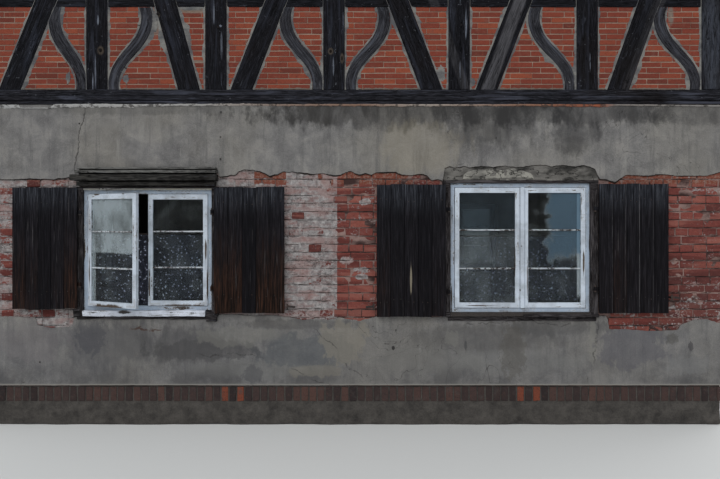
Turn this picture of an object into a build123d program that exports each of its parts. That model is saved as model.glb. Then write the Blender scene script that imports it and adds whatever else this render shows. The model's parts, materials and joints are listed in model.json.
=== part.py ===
from build123d import *
import math
import os

# Half timbered house: a plastered brick ground storey under a timber framed upper storey
# with brick infill and a saddle roof. Millimetres, +Z up, the street front faces -Y, and the
# origin is the centre of the house at ground level.

# Ground storey
front_bays = (1074, 1130, 1121, 1188, 1216, 1187)
gable_bay_count = 4
house_depth = 5600
wall_thickness = 380
plaster_thickness = 18
wall_top = 3045
plinth_top = 370
plinth_ledge = 210
plinth_setback = 15
plinth_upper_thickness = 365
plinth_lower_thickness = 480
upper_plaster_bottom = 2346
lower_plaster_top = 1016
lower_plaster_lift = 8

# Floors
floor_board_thickness = 30
ground_joist_height = 120
joist_width = 120
room_gap = 2

# Timber frame of the upper storey
post_width = 205
post_depth = 160
corner_post_depth = 205
sill_height = 140
sill_proud = 10
storey_height = 2015
plate_height = 160
rail_lift = 786
rail_height = 150
rail_depth = 140
brace_span = 209
brace_depth = 140
curve_width = 105
curve_depth = 105
# The curved brace's line, in shares of its reach from the post, of the way up to the rail, and of
# curve_width
curve_line = (
    (0.17, 0, 0.9), (0.29, 0.27, 1.1), (0.64, 0.47, 1.35),
    (0.97, 0.68, 1.15), (1.06, 0.84, 1.05), (1.0, 1.0, 1.0),
)
# For each bay of the front: how far the straight brace's foot stands from its post's centre,
# how much it leans, and how far the curved brace reaches out from its post
front_feet = (247, 256, 242, 261, 261, 294)
front_slopes = (0.404, 0.272, 0.390, 0.380, 0.386, 0.355)
front_reaches = (285, 350, 340, 355, 380, 375)
# The same for every bay of the gables
gable_foot = 255
gable_slope = 0.385
gable_reach = 360
infill_setback = 12
infill_thickness = 115

# Roof
roof_pitch = 47
rafter_depth = 140
rafter_width = 110
rafter_seat = 90
eaves_overhang = 380
verge_overhang = 230
roof_cover = 70
eaves_drip = 45
collar_lift = 1500
collar_height = 130
gable_post_offset = 1250
gable_member = 150
gable_frame_depth = 150
ridge_tile_reach = 150
ridge_tile_thickness = 24
barge_board_height = 200
barge_board_thickness = 28

# Chimney
chimney_x = 460
chimney_y = 600
chimney_size = 500
flue_size = 200
chimney_rise = 650
chimney_cap_proud = 45
chimney_cap_height = 140

# Left window of the front
left_centre = -1900
left_frame_width = 1216
left_frame_height = 1141
left_frame_bottom = 1092
left_casing_width = 65
left_sill_height = 55
left_sill_proud = 45
left_sill_stop = 57
ajar_sash_width = 600
ajar_angle = 25

# Right window of the front
right_centre = 1634
right_frame_width = 1321
right_frame_height = 1222
right_frame_bottom = 1073
right_casing_width = 78
right_sill_height = 40
right_sill_proud = 18

# What every window shares
casing_head = 30
casing_proud = 20
casing_depth = 150
frame_member = 38
frame_depth = 70
frame_setback = 4
sash_stile = 46
sash_rail = 52
sash_thickness = 34
sash_setback = -4
glass_thickness = 4
knuckle_radius = 7
knuckle_height = 70
knuckle_inset = 140

# Hood over the left window
hood_height = 178
hood_proud = 118
hood_lip = 52
hood_overrun = 20

# Net curtains
curtain_thickness = 16
curtain_setback = 110
curtain_drop = 700
curtain_side_gap = 30
curtain_sill_gap = 12
rod_radius = 8

# Windows and door of the sides that the street doesn't see
plain_window_offset = 1900
plain_sill_proud = 30
plain_sill_height = 45
door_width = 900
door_height = 1950
door_frame_width = 70
door_thickness = 42
door_setback = 120
step_height = 180
step_depth = 320
step_width = 1300

# Shutters
shutter_board_thickness = 24
shutter_back = 38
batten_thickness = 22
batten_height = 90
batten_inset = 150
batten_margin = 46
groove_width = 5
groove_depth = 4
boards_per_shutter = 5
hinge_stand_off = 46
left_pin_offset = 25
right_pin_offset = 35
pin_radius = 6
pin_clearance = 0.3
pin_height = 56
eye_radius = 12
strap_height = 34
strap_length = 380
strap_thickness = 4
strap_inset = 230
seat_clearance = 0.3
holdback_gap = 22
holdback_size = 16
holdback_height = 60
holdback_leaf = 5
left_pin_gap = 18.5
second_pin_gap = 6
third_pin_gap = 17
fourth_pin_gap = 38
left_shutter_width = 605
left_shutter_bottom = 1112
left_shutter_height = 1140
second_holdback_lift = 54
third_holdback_lift = 90
fourth_holdback_lift = 147
second_shutter_width = 662
second_shutter_bottom = 1076
second_shutter_height = 1180
third_shutter_width = 649
third_shutter_bottom = 1040
third_shutter_height = 1240
fourth_shutter_width = 649
fourth_shutter_bottom = 1069
fourth_shutter_height = 1216

# Sizes worked out from the ones above
house_width = sum(front_bays) + post_width
half_width = house_width / 2
half_depth = house_depth / 2
floor_top = plinth_ledge + ground_joist_height + floor_board_thickness
sill_top = wall_top + sill_height
plate_bottom = sill_top + storey_height
plate_top = plate_bottom + plate_height
rail_bottom = sill_top + rail_lift
pitch = math.radians(roof_pitch)
rafter_rise = rafter_depth / math.cos(pitch)
cover_rise = roof_cover / math.cos(pitch)
rafter_underside = plate_top + (half_depth - rafter_seat) * math.tan(pitch)
rafter_top = rafter_underside + rafter_rise
ridge_top = rafter_top + cover_rise
eaves_edge = half_depth + eaves_overhang + eaves_drip
post_centres = [-half_width + post_width / 2 + sum(front_bays[:i]) for i in range(len(front_bays) + 1)]
gable_bay = (house_depth - post_width) / gable_bay_count
gable_centres = [-half_depth + post_width / 2 + gable_bay * i for i in range(gable_bay_count + 1)]
LEANS_RIGHT, LEANS_LEFT = 1, -1
front_leans = (LEANS_RIGHT, LEANS_LEFT, LEANS_RIGHT, LEANS_LEFT, LEANS_RIGHT, LEANS_RIGHT)
# Which side of the house a piece drawn for the front is turned to
FRONT, BACK, LEFT, RIGHT = 0, 180, -90, 90


def block(x, y, z):
    """A box between two limits in each direction."""
    size = [max(pair) - min(pair) for pair in (x, y, z)]
    middle = [(pair[0] + pair[1]) / 2 for pair in (x, y, z)]
    return Pos(*middle) * Box(*size)


def outline(*points):
    """A flat face with straight edges."""
    return make_face(Polyline(*points, close=True))


def upright(face, front, depth):
    """A face drawn in X and Z, made solid from the plane y = front inwards by depth."""
    return Pos(0, front, 0) * extrude(Plane.XZ * face, -depth)


def crosswise(face, start, length):
    """A face drawn in Y and Z, made solid from the plane x = start by length."""
    return Pos(start, 0, 0) * extrude(Plane.YZ * face, length)


def turned(side, shapes):
    """Pieces drawn for the front, turned about the house's centre to another side."""
    return [Rot(0, 0, side) * shape for shape in shapes]


def solids_of(shapes):
    found = []
    for shape in shapes:
        found.extend(shape.solids())
    return found


def write(node, shapes):
    export_step(Compound(children=solids_of(shapes)), "parts/" + node + ".step")


class Window:
    """The sizes of one window, in the plane of its wall."""

    def __init__(self, centre, width, height, bottom, casing, sill_height, sill_proud):
        self.centre = centre
        self.low = centre - width / 2
        self.high = centre + width / 2
        self.bottom = bottom
        self.top = bottom + height
        self.casing = casing
        self.head = self.top + (casing_head if casing else 0)
        self.sill_bottom = bottom - sill_height
        self.sill_proud = sill_proud

    def opening(self, front, depth):
        """The hole in the wall, from the sill's bed to the top of the casing."""
        return block(
            (self.low - self.casing, self.high + self.casing),
            (front, front + depth),
            (self.sill_bottom, self.head),
        )


left_window = Window(
    left_centre, left_frame_width, left_frame_height, left_frame_bottom,
    left_casing_width, left_sill_height, left_sill_proud,
)
right_window = Window(
    right_centre, right_frame_width, right_frame_height, right_frame_bottom,
    right_casing_width, right_sill_height, right_sill_proud,
)


def plain_window(centre):
    """The left window's frame, as it is repeated on the hidden sides."""
    return Window(
        centre, left_frame_width, left_frame_height, left_frame_bottom,
        0, plain_sill_height, plain_sill_proud,
    )


back_windows = [plain_window(-plain_window_offset), plain_window(plain_window_offset)]
gable_window = plain_window(0)


def door_opening(front, depth):
    return block(
        (-door_width / 2 - door_frame_width, door_width / 2 + door_frame_width),
        (front, front + depth),
        (plinth_top, plinth_top + door_height + door_frame_width),
    )


def plinth():
    """The footing with its inner ledge, and the brick course on it."""
    outer_x = half_width - plinth_setback
    outer_y = half_depth - plinth_setback
    lower = block((-outer_x, outer_x), (-outer_y, outer_y), (0, plinth_ledge))
    upper = block((-outer_x, outer_x), (-outer_y, outer_y), (plinth_ledge, plinth_top))
    for part_thickness, z in ((plinth_lower_thickness, (0, plinth_ledge)),
                              (plinth_upper_thickness, (plinth_ledge, plinth_top))):
        room_x = outer_x - part_thickness
        room_y = outer_y - part_thickness
        room = block((-room_x, room_x), (-room_y, room_y), z)
        lower = lower - room
        upper = upper - room
    return [lower + upper]


def front_wall(window, low, high):
    """The street wall around one of its windows, between two limits along the wall."""
    face = -half_depth + plaster_thickness
    depth = wall_thickness - plaster_thickness
    wall = block((low, high), (face, face + depth), (plinth_top, wall_top))
    return [wall - window.opening(face, depth)]


def front_plaster():
    """The two bands of plaster that are left on the front."""
    face = (-half_depth, -half_depth + plaster_thickness)
    upper = block((-half_width, half_width), face, (upper_plaster_bottom, wall_top))
    lower = block((-half_width, half_width), face, (plinth_top + lower_plaster_lift, lower_plaster_top))
    for window in (left_window, right_window):
        upper = upper - window.opening(-half_depth, plaster_thickness)
        lower = lower - window.opening(-half_depth, plaster_thickness)
    return [upper, lower]


def back_wall():
    wall = block(
        (-half_width, half_width),
        (-half_depth, -half_depth + wall_thickness),
        (plinth_top, wall_top),
    )
    for window in back_windows:
        wall = wall - window.opening(-half_depth, wall_thickness)
    wall = wall - door_opening(-half_depth, wall_thickness)
    return turned(BACK, [wall])


def gable_walls():
    reach = half_depth - wall_thickness
    wall = block((-reach, reach), (-half_width, -half_width + wall_thickness), (plinth_top, wall_top))
    wall = wall - gable_window.opening(-half_width, wall_thickness)
    return turned(LEFT, [wall]) + turned(RIGHT, [wall])


def chimney_hole(z):
    half = chimney_size / 2
    return block((chimney_x - half, chimney_x + half), (chimney_y - half, chimney_y + half), z)


def floor_joists():
    joists = []
    ground_reach = half_depth - plinth_setback - plinth_upper_thickness
    upper_reach = half_depth - post_depth
    ground = (plinth_ledge, plinth_ledge + ground_joist_height)
    for x in post_centres[1:-1]:
        width = (x - joist_width / 2, x + joist_width / 2)
        joists.append(block(width, (-ground_reach, ground_reach), ground))
        joists.append(block(width, (-upper_reach, upper_reach), (wall_top, sill_top)))
    return joists


def floor_boards():
    ground_x = half_width - plinth_setback - plinth_upper_thickness
    ground_y = half_depth - plinth_setback - plinth_upper_thickness
    ground = block(
        (-ground_x, ground_x), (-ground_y, ground_y), (floor_top - floor_board_thickness, floor_top)
    )
    upper_x = half_width - corner_post_depth
    upper_y = half_depth - corner_post_depth
    upper = block(
        (-upper_x, upper_x), (-upper_y, upper_y), (sill_top, sill_top + floor_board_thickness)
    )
    return [floor - chimney_hole((0, plate_bottom)) for floor in (ground, upper)]


def long_sill_beams():
    beam = block(
        (-half_width - sill_proud, half_width + sill_proud),
        (-half_depth - sill_proud, -half_depth + post_depth),
        (wall_top, sill_top),
    )
    return [beam] + turned(BACK, [beam])


def gable_sill_beams():
    reach = half_depth - post_depth
    beam = block(
        (-reach, reach), (-half_width - sill_proud, -half_width + post_depth), (wall_top, sill_top)
    )
    return turned(LEFT, [beam]) + turned(RIGHT, [beam])


def post(centre, distance, depth):
    width = (centre - post_width / 2, centre + post_width / 2)
    return block(width, (-distance, -distance + depth), (sill_top, plate_bottom))


def posts():
    """Posts of the front and back with the corners, and those between them on the gables."""
    long_side = []
    for centre in post_centres:
        is_corner = centre in (post_centres[0], post_centres[-1])
        long_side.append(post(centre, half_depth, corner_post_depth if is_corner else post_depth))
    gable = [post(centre, half_width, post_depth) for centre in gable_centres[1:-1]]
    return long_side + turned(BACK, long_side) + turned(LEFT, gable) + turned(RIGHT, gable)


class Bay:
    """The space between two posts, and the timbers that stiffen it."""

    def __init__(self, start, end, lean, distance, foot, slope, reach):
        self.low = start + post_width / 2
        self.high = end - post_width / 2
        self.lean = lean
        self.face = -distance
        self.foot = foot
        self.slope = slope
        self.reach = reach
        # The side that the straight brace starts from and the one that it leans to
        self.foot_side = self.low if lean == LEANS_RIGHT else self.high
        self.head_side = self.high if lean == LEANS_RIGHT else self.low

    def space(self, depth):
        return block((self.low, self.high), (self.face, self.face + depth), (sill_top, plate_bottom))

    def leaning_slab(self, depth):
        """The straight brace's outline, before the posts cut it off."""
        foot = self.foot_side + self.lean * (self.foot - post_width / 2)
        head = foot + self.lean * self.slope * storey_height
        half = brace_span / 2
        face = outline(
            (foot - half, sill_top), (foot + half, sill_top),
            (head + half, plate_bottom), (head - half, plate_bottom),
        )
        return upright(face, self.face, depth)

    def straight_brace(self):
        """The long brace, which leans from the sill to the head of the next post."""
        return self.leaning_slab(brace_depth) & self.space(brace_depth)

    def curved_brace(self):
        """The S shaped brace, which grows from the foot of the post to the rail."""
        near = []
        far = []
        for along, up, broad in curve_line:
            centre = self.head_side - self.lean * along * self.reach
            height = sill_top + up * rail_lift
            near.append((centre + self.lean * broad * curve_width / 2, height))
            far.append((centre - self.lean * broad * curve_width / 2, height))
        inner = Spline(*near)
        outer = Spline(*far)
        edges = Curve() + [inner, outer, Line(inner @ 0, outer @ 0), Line(inner @ 1, outer @ 1)]
        brace = upright(make_face(edges), self.face, curve_depth) & self.space(curve_depth)
        return brace - self.leaning_slab(curve_depth)

    def rail(self):
        """The rail, in the lengths that the straight brace leaves of it."""
        whole = block(
            (self.low, self.high),
            (self.face, self.face + rail_depth),
            (rail_bottom, rail_bottom + rail_height),
        )
        return whole - self.leaning_slab(rail_depth)

    def infill(self):
        """The brick panels, cut to the timbers around them."""
        panel = block(
            (self.low, self.high),
            (self.face + infill_setback, self.face + infill_setback + infill_thickness),
            (sill_top, plate_bottom),
        )
        return panel - self.straight_brace() - self.curved_brace() - self.rail()


front = [
    Bay(start, end, lean, half_depth, foot, slope, reach)
    for start, end, lean, foot, slope, reach in zip(
        post_centres, post_centres[1:], front_leans, front_feet, front_slopes, front_reaches
    )
]
gable = [
    Bay(start, end, LEANS_LEFT if i % 2 else LEANS_RIGHT, half_width, gable_foot, gable_slope, gable_reach)
    for i, (start, end) in enumerate(zip(gable_centres, gable_centres[1:]))
]


def all_sides(pieces_of):
    """The same kind of timber from every bay of the four sides."""
    long_side = [pieces_of(bay) for bay in front]
    end = [pieces_of(bay) for bay in gable]
    return long_side + turned(BACK, long_side) + turned(LEFT, end) + turned(RIGHT, end)


def eaves_plates():
    plate = block(
        (-half_width, half_width), (-half_depth, -half_depth + post_depth), (plate_bottom, plate_top)
    )
    return [plate] + turned(BACK, [plate])


def tie_beams():
    reach = half_depth - post_depth
    beams = []
    for x in post_centres[1:-1]:
        width = (x - joist_width / 2, x + joist_width / 2)
        beams.append(block(width, (-reach, reach), (plate_bottom, plate_top)))
    end = block((-reach, reach), (-half_width, -half_width + post_depth), (plate_bottom, plate_top))
    return beams + turned(LEFT, [end]) + turned(RIGHT, [end])


def rafter_face():
    """One pair of rafters seen from the gable, notched over the plates."""
    tail = half_depth + eaves_overhang
    drop = tail * math.tan(pitch)
    face = outline(
        (-tail, rafter_underside - drop), (0, rafter_underside), (tail, rafter_underside - drop),
        (tail, rafter_top - drop), (0, rafter_top), (-tail, rafter_top - drop),
    )
    for side in (-1, 1):
        plate = outline(
            (side * half_depth, plate_bottom), (side * (half_depth - post_depth), plate_bottom),
            (side * (half_depth - post_depth), plate_top), (side * half_depth, plate_top),
        )
        face = face - plate
    return face


def under_roof(low, high):
    """The part of the attic's section between two heights, up to the rafters."""
    edge_low = (rafter_underside - low) / math.tan(pitch)
    edge_high = (rafter_underside - high) / math.tan(pitch)
    return outline((-edge_low, low), (edge_low, low), (edge_high, high), (-edge_high, high))


def rafters():
    collar_bottom = plate_top + collar_lift
    face = rafter_face() + under_roof(collar_bottom, collar_bottom + collar_height)
    return [crosswise(face, x - rafter_width / 2, rafter_width) for x in post_centres[1:-1]]


def gable_members():
    """The timbers of a gable triangle, drawn in Y and Z."""
    collar_bottom = plate_top + collar_lift
    face = rafter_face() + under_roof(collar_bottom, collar_bottom + gable_member)
    half = gable_member / 2
    for y in (-gable_post_offset, 0, gable_post_offset):
        top = rafter_underside - (abs(y) - half) * math.tan(pitch) if y else rafter_underside
        post_face = outline((y - half, plate_top), (y + half, plate_top), (y + half, top), (y - half, top))
        face = face + (post_face & under_roof(plate_top, rafter_underside - half))
    return face


def gable_trusses():
    face = gable_members()
    left = crosswise(face, -half_width, gable_frame_depth)
    right = crosswise(face, half_width - gable_frame_depth, gable_frame_depth)
    return [left, right]


def gable_panels():
    """Brick panels between the timbers of the gable triangles."""
    face = under_roof(plate_top, rafter_underside - gable_member / 2) - gable_members()
    left = crosswise(face, -half_width + infill_setback, infill_thickness)
    right = crosswise(face, half_width - infill_setback - infill_thickness, infill_thickness)
    return [left, right]


def roof_slope(side):
    """One slope of tiles on their battens."""
    drop = eaves_edge * math.tan(pitch)
    reach = half_width + verge_overhang
    face = outline(
        (0, rafter_top), (0, ridge_top),
        (side * eaves_edge, ridge_top - drop), (side * eaves_edge, rafter_top - drop),
    )
    slope = crosswise(face, -reach, 2 * reach)
    return [slope - chimney_hole((plate_top, ridge_top + chimney_rise))]


def ridge_tiles():
    reach = half_width + verge_overhang
    drop = ridge_tile_reach * math.tan(pitch)
    lift = ridge_tile_thickness / math.cos(pitch)
    face = outline(
        (-ridge_tile_reach, ridge_top - drop), (0, ridge_top), (ridge_tile_reach, ridge_top - drop),
        (ridge_tile_reach, ridge_top - drop + lift), (0, ridge_top + lift),
        (-ridge_tile_reach, ridge_top - drop + lift),
    )
    return [crosswise(face, -reach, 2 * reach)]


def barge_boards():
    """The boards that close the verges, under the tiles' edge."""
    drop = eaves_edge * math.tan(pitch)
    depth = barge_board_height / math.cos(pitch)
    face = outline(
        (-eaves_edge, rafter_top - drop), (0, rafter_top), (eaves_edge, rafter_top - drop),
        (eaves_edge, rafter_top - drop - depth), (0, rafter_top - depth),
        (-eaves_edge, rafter_top - drop - depth),
    )
    left = crosswise(face, -half_width - verge_overhang, barge_board_thickness)
    right = crosswise(
        face, half_width + verge_overhang - barge_board_thickness, barge_board_thickness
    )
    return [left, right]


def chimney():
    half = chimney_size / 2
    top = ridge_top + chimney_rise
    stack = chimney_hole((0, top))
    proud = half + chimney_cap_proud
    cap = block(
        (chimney_x - proud, chimney_x + proud),
        (chimney_y - proud, chimney_y + proud),
        (top - chimney_cap_height, top),
    )
    flue = block(
        (chimney_x - flue_size / 2, chimney_x + flue_size / 2),
        (chimney_y - flue_size / 2, chimney_y + flue_size / 2),
        (0, top),
    )
    return [stack + cap - flue]


def window_casing(window):
    """The timber lining of the opening, at its sides and top, a little proud of the wall."""
    y = (-half_depth - casing_proud, -half_depth + casing_depth)
    whole = block(
        (window.low - window.casing, window.high + window.casing),
        y,
        (window.sill_bottom, window.head),
    )
    return whole - block((window.low, window.high), y, (window.sill_bottom, window.top))


def window_frame(window, distance):
    y = (-distance + frame_setback, -distance + frame_setback + frame_depth)
    whole = block((window.low, window.high), y, (window.bottom, window.top))
    hole = block(
        (window.low + frame_member, window.high - frame_member),
        y,
        (window.bottom + frame_member, window.top - frame_member),
    )
    return whole - hole


def sash(low, high, window, distance):
    """One sash between two X limits, and its pane."""
    y = (-distance + sash_setback, -distance + sash_setback + sash_thickness)
    z = (window.bottom + frame_member, window.top - frame_member)
    inside_x = (low + sash_stile, high - sash_stile)
    inside_z = (z[0] + sash_rail, z[1] - sash_rail)
    middle = -distance + sash_setback + sash_thickness / 2
    ring = block((low, high), y, z) - block(inside_x, y, inside_z)
    pane = block(inside_x, (middle - glass_thickness / 2, middle + glass_thickness / 2), inside_z)
    return ring, pane


def shut_sashes(window, distance):
    left = sash(window.low + frame_member, window.centre - room_gap / 2, window, distance)
    right = sash(window.centre + room_gap / 2, window.high - frame_member, window, distance)
    return [left, right]


def knuckles(window):
    """The pins of the ajar sash, at its hinge side."""
    found = None
    x = window.low + frame_member
    y = -half_depth + sash_setback
    for z in (window.bottom + knuckle_inset, window.top - knuckle_inset):
        pin = Pos(x, y, z) * Cylinder(knuckle_radius, knuckle_height)
        found = pin if found is None else found + pin
    return found


def ajar_sash(window):
    """The left sash, which stands open by a fixed angle."""
    hinge = window.low + frame_member
    ring, pane = sash(hinge, hinge + ajar_sash_width, window, half_depth)
    turn = Pos(hinge, -half_depth + sash_setback, 0) * Rot(0, 0, -ajar_angle)
    back = Pos(-hinge, half_depth - sash_setback, 0)
    return (turn * back * ring) - knuckles(window), turn * back * pane


def left_window_sashes():
    ring, pane = ajar_sash(left_window)
    shut = shut_sashes(left_window, half_depth)[1]
    return [(ring, pane), shut]


def window_sill(window, distance, overrun_low, overrun_high, depth):
    board = block(
        (window.low - overrun_low, window.high + overrun_high),
        (-distance - window.sill_proud, -distance + depth),
        (window.sill_bottom, window.bottom),
    )
    return board


def left_window_hood():
    """The moulded timber cornice over the left window."""
    low = left_window.head
    high = low + hood_height
    lip_low = low + (hood_height - hood_lip) / 2
    lip_high = lip_low + hood_lip
    wall = -half_depth
    bed = wall - hood_proud * 0.3
    neck = wall - hood_proud * 0.55
    lip = wall - hood_proud
    profile = make_face(
        Curve() + [
            Line((wall, low), (bed, low)),
            Line((bed, low), (bed, low + hood_height * 0.12)),
            RadiusArc((bed, low + hood_height * 0.12), (neck, lip_low), hood_height * 0.26),
            Line((neck, lip_low), (lip, lip_low)),
            Line((lip, lip_low), (lip, lip_high)),
            Line((lip, lip_high), (neck, lip_high + hood_height * 0.1)),
            Line((neck, lip_high + hood_height * 0.1), (wall, high)),
            Line((wall, high), (wall, low)),
        ]
    )
    start = left_window.low - left_window.casing - hood_overrun
    length = left_window.high + left_window.casing + hood_overrun - start
    return [crosswise(profile, start, length)]


def curtain(window):
    """A closed slab in the place of the net curtain, which hangs from its rod."""
    y = -half_depth + curtain_setback
    low_z = window.bottom + curtain_sill_gap
    return block(
        (window.low + curtain_side_gap, window.high - curtain_side_gap),
        (y, y + curtain_thickness),
        (low_z, low_z + curtain_drop),
    )


def curtain_rod(window):
    z = window.bottom + curtain_sill_gap + curtain_drop + rod_radius
    y = -half_depth + curtain_setback + curtain_thickness / 2
    length = window.high - window.low
    return Pos(window.centre, y, z) * Rot(0, 90, 0) * Cylinder(rod_radius, length)


def door_frame():
    y = (-half_depth + door_setback - door_frame_width, -half_depth + door_setback + door_thickness)
    half = door_width / 2
    top = plinth_top + door_height
    whole = block((-half - door_frame_width, half + door_frame_width), y,
                  (plinth_top, top + door_frame_width))
    return turned(BACK, [whole - block((-half, half), y, (plinth_top, top))])


def door():
    y = (-half_depth + door_setback, -half_depth + door_setback + door_thickness)
    half = door_width / 2
    return turned(BACK, [block((-half, half), y, (plinth_top, plinth_top + door_height))])


def back_step():
    y = (-half_depth + plinth_setback - step_depth, -half_depth + plinth_setback)
    return turned(BACK, [block((-step_width / 2, step_width / 2), y, (0, step_height))])


class Shutter:
    """A plank shutter, laid back against the wall beside its window."""

    def __init__(self, axis_x, side, pin_offset, width, bottom, height):
        self.axis_x = axis_x
        self.side = side
        self.near = axis_x + side * pin_offset
        self.far = self.near + side * width
        self.width = width
        self.bottom = bottom
        self.top = bottom + height
        self.strap_heights = (bottom + strap_inset, self.top - strap_inset)

    def x(self, start, end):
        """Limits measured from the hinge edge towards the free edge."""
        pair = (self.near + self.side * start, self.near + self.side * end)
        return (min(pair), max(pair))

    def shape(self):
        face = -half_depth - shutter_back
        y = (face - shutter_board_thickness, face)
        panel = block(self.x(0, self.width), y, (self.bottom, self.top))
        pitch_x = self.width / boards_per_shutter
        for i in range(1, boards_per_shutter):
            groove_x = self.x(i * pitch_x - groove_width / 2, i * pitch_x + groove_width / 2)
            for groove_y in ((y[0], y[0] + groove_depth), (y[1] - groove_depth, y[1])):
                panel = panel - block(groove_x, groove_y, (self.bottom, self.top))
        batten_x = self.x(batten_margin, self.width - batten_margin)
        for z in (self.bottom + batten_inset, self.top - batten_inset):
            panel = panel + block(
                batten_x, (face, face + batten_thickness), (z - batten_height / 2, z + batten_height / 2)
            )
        for z in self.strap_heights:
            panel = panel + self.strap(z, face)
        return panel

    def strap(self, z, face):
        """An iron strap with an eye that turns on the pintle."""
        reach = abs(self.near - self.axis_x)
        strap_z = (z - strap_height / 2, z + strap_height / 2)
        bar = block(self.x(-reach, strap_length), (face, face + strap_thickness), strap_z)
        axis = Pos(self.axis_x, -half_depth - hinge_stand_off, z)
        eye = axis * Cylinder(eye_radius, strap_height)
        hole = axis * Cylinder(pin_radius + pin_clearance, strap_height)
        return (bar + eye) - hole

    def pintle(self, z):
        """The pin that carries one eye, on an arm that is driven into the casing."""
        y = -half_depth - hinge_stand_off
        low = z - strap_height / 2 - seat_clearance
        pin = Pos(self.axis_x, y, low - pin_radius + pin_height / 2) * Cylinder(pin_radius, pin_height)
        arm = block(
            (self.axis_x - pin_radius, self.axis_x + pin_radius),
            (y, -half_depth - casing_proud),
            (low - 2 * pin_radius, low),
        )
        foot = Pos(self.axis_x, y, low - pin_radius) * Cylinder(eye_radius, 2 * pin_radius)
        return pin + arm + foot

    def holdback(self, lift):
        """A small iron catch beyond the free edge."""
        z = self.bottom + lift
        start = self.far + self.side * holdback_gap
        x = (min(start, start + self.side * holdback_size), max(start, start + self.side * holdback_size))
        brick = -half_depth + plaster_thickness
        front_y = -half_depth - shutter_back - shutter_board_thickness
        stem = block(x, (front_y, brick), (z - holdback_size / 2, z + holdback_size / 2))
        leaf = block(x, (front_y - holdback_leaf, front_y), (z - holdback_height / 2, z + holdback_height / 2))
        return stem + leaf


TOWARDS_LEFT, TOWARDS_RIGHT = -1, 1
shutters = {
    "left_window_left_shutter": Shutter(
        left_window.low - left_pin_gap, TOWARDS_LEFT, left_pin_offset,
        left_shutter_width, left_shutter_bottom, left_shutter_height,
    ),
    "left_window_right_shutter": Shutter(
        left_window.high + second_pin_gap, TOWARDS_RIGHT, left_pin_offset,
        second_shutter_width, second_shutter_bottom, second_shutter_height,
    ),
    "right_window_left_shutter": Shutter(
        right_window.low - third_pin_gap, TOWARDS_LEFT, right_pin_offset,
        third_shutter_width, third_shutter_bottom, third_shutter_height,
    ),
    "right_window_right_shutter": Shutter(
        right_window.high + fourth_pin_gap, TOWARDS_RIGHT, right_pin_offset,
        fourth_shutter_width, fourth_shutter_bottom, fourth_shutter_height,
    ),
}


def main():
    os.makedirs("parts", exist_ok=True)
    write("plinth", plinth())
    wall_joint = (left_window.high + right_window.low) / 2
    write("front_wall_left", front_wall(left_window, -half_width, wall_joint))
    write("front_wall_right", front_wall(right_window, wall_joint, half_width))
    write("front_plaster", front_plaster())
    write("back_wall", back_wall())
    write("gable_walls", gable_walls())
    write("floor_joists", floor_joists())
    write("floor_boards", floor_boards())
    write("long_sill_beams", long_sill_beams())
    write("gable_sill_beams", gable_sill_beams())
    write("posts", posts())
    write("straight_braces", all_sides(Bay.straight_brace))
    write("curved_braces", all_sides(Bay.curved_brace))
    write("rails", all_sides(Bay.rail))
    front_infill = [bay.infill() for bay in front]
    end_infill = [bay.infill() for bay in gable]
    write("front_infill", front_infill)
    write("back_infill", turned(BACK, front_infill))
    write("gable_infill", turned(LEFT, end_infill) + turned(RIGHT, end_infill))
    write("eaves_plates", eaves_plates())
    write("tie_beams", tie_beams())
    write("rafters", rafters())
    write("gable_trusses", gable_trusses())
    write("gable_panels", gable_panels())
    write("front_roof_slope", roof_slope(-1))
    write("back_roof_slope", roof_slope(1))
    write("ridge_tiles", ridge_tiles())
    write("barge_boards", barge_boards())
    write("chimney", chimney())

    write("window_casings", [window_casing(left_window), window_casing(right_window)])
    write("left_window_hood", left_window_hood())
    left_frame = window_frame(left_window, half_depth) + knuckles(left_window)
    left_sashes = left_window_sashes()
    right_sashes = shut_sashes(right_window, half_depth)
    write("front_window_frames", [left_frame, window_frame(right_window, half_depth)])
    write("left_window_sashes", [ring for ring, pane in left_sashes])
    write("right_window_sashes", [ring for ring, pane in right_sashes])
    write("front_window_glass", [pane for ring, pane in left_sashes + right_sashes])
    write("front_window_sills", [
        window_sill(left_window, half_depth, 0, -left_sill_stop, casing_depth),
        window_sill(right_window, half_depth, 0, 0, casing_depth),
    ])
    write("curtain_rods", [curtain_rod(left_window), curtain_rod(right_window)])
    write("left_window_curtain", [curtain(left_window)])
    write("right_window_curtain", [curtain(right_window)])

    frames = []
    sashes = []
    sills = []
    for window in back_windows:
        frames += turned(BACK, [window_frame(window, half_depth)])
        sashes += [turned(BACK, pair) for pair in shut_sashes(window, half_depth)]
        sills += turned(BACK, [window_sill(window, half_depth, 0, 0, casing_depth)])
    for side in (LEFT, RIGHT):
        frames += turned(side, [window_frame(gable_window, half_width)])
        sashes += [turned(side, pair) for pair in shut_sashes(gable_window, half_width)]
        sills += turned(side, [window_sill(gable_window, half_width, 0, 0, casing_depth)])
    write("plain_window_frames", frames)
    write("plain_window_sashes", [ring for ring, pane in sashes])
    write("plain_window_glass", [pane for ring, pane in sashes])
    write("plain_window_sills", sills)
    write("back_door_frame", door_frame())
    write("back_door", door())
    write("back_step", back_step())

    irons = []
    for node, shutter in shutters.items():
        write(node, [shutter.shape()])
        irons += [shutter.pintle(z) for z in shutter.strap_heights]
    irons.append(shutters["left_window_right_shutter"].holdback(second_holdback_lift))
    irons.append(shutters["right_window_left_shutter"].holdback(third_holdback_lift))
    irons.append(shutters["right_window_right_shutter"].holdback(fourth_holdback_lift))
    write("shutter_irons", irons)


main()
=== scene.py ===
import bmesh
import bpy
import json
import math
import random
from mathutils import Matrix, Vector, noise

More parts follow.
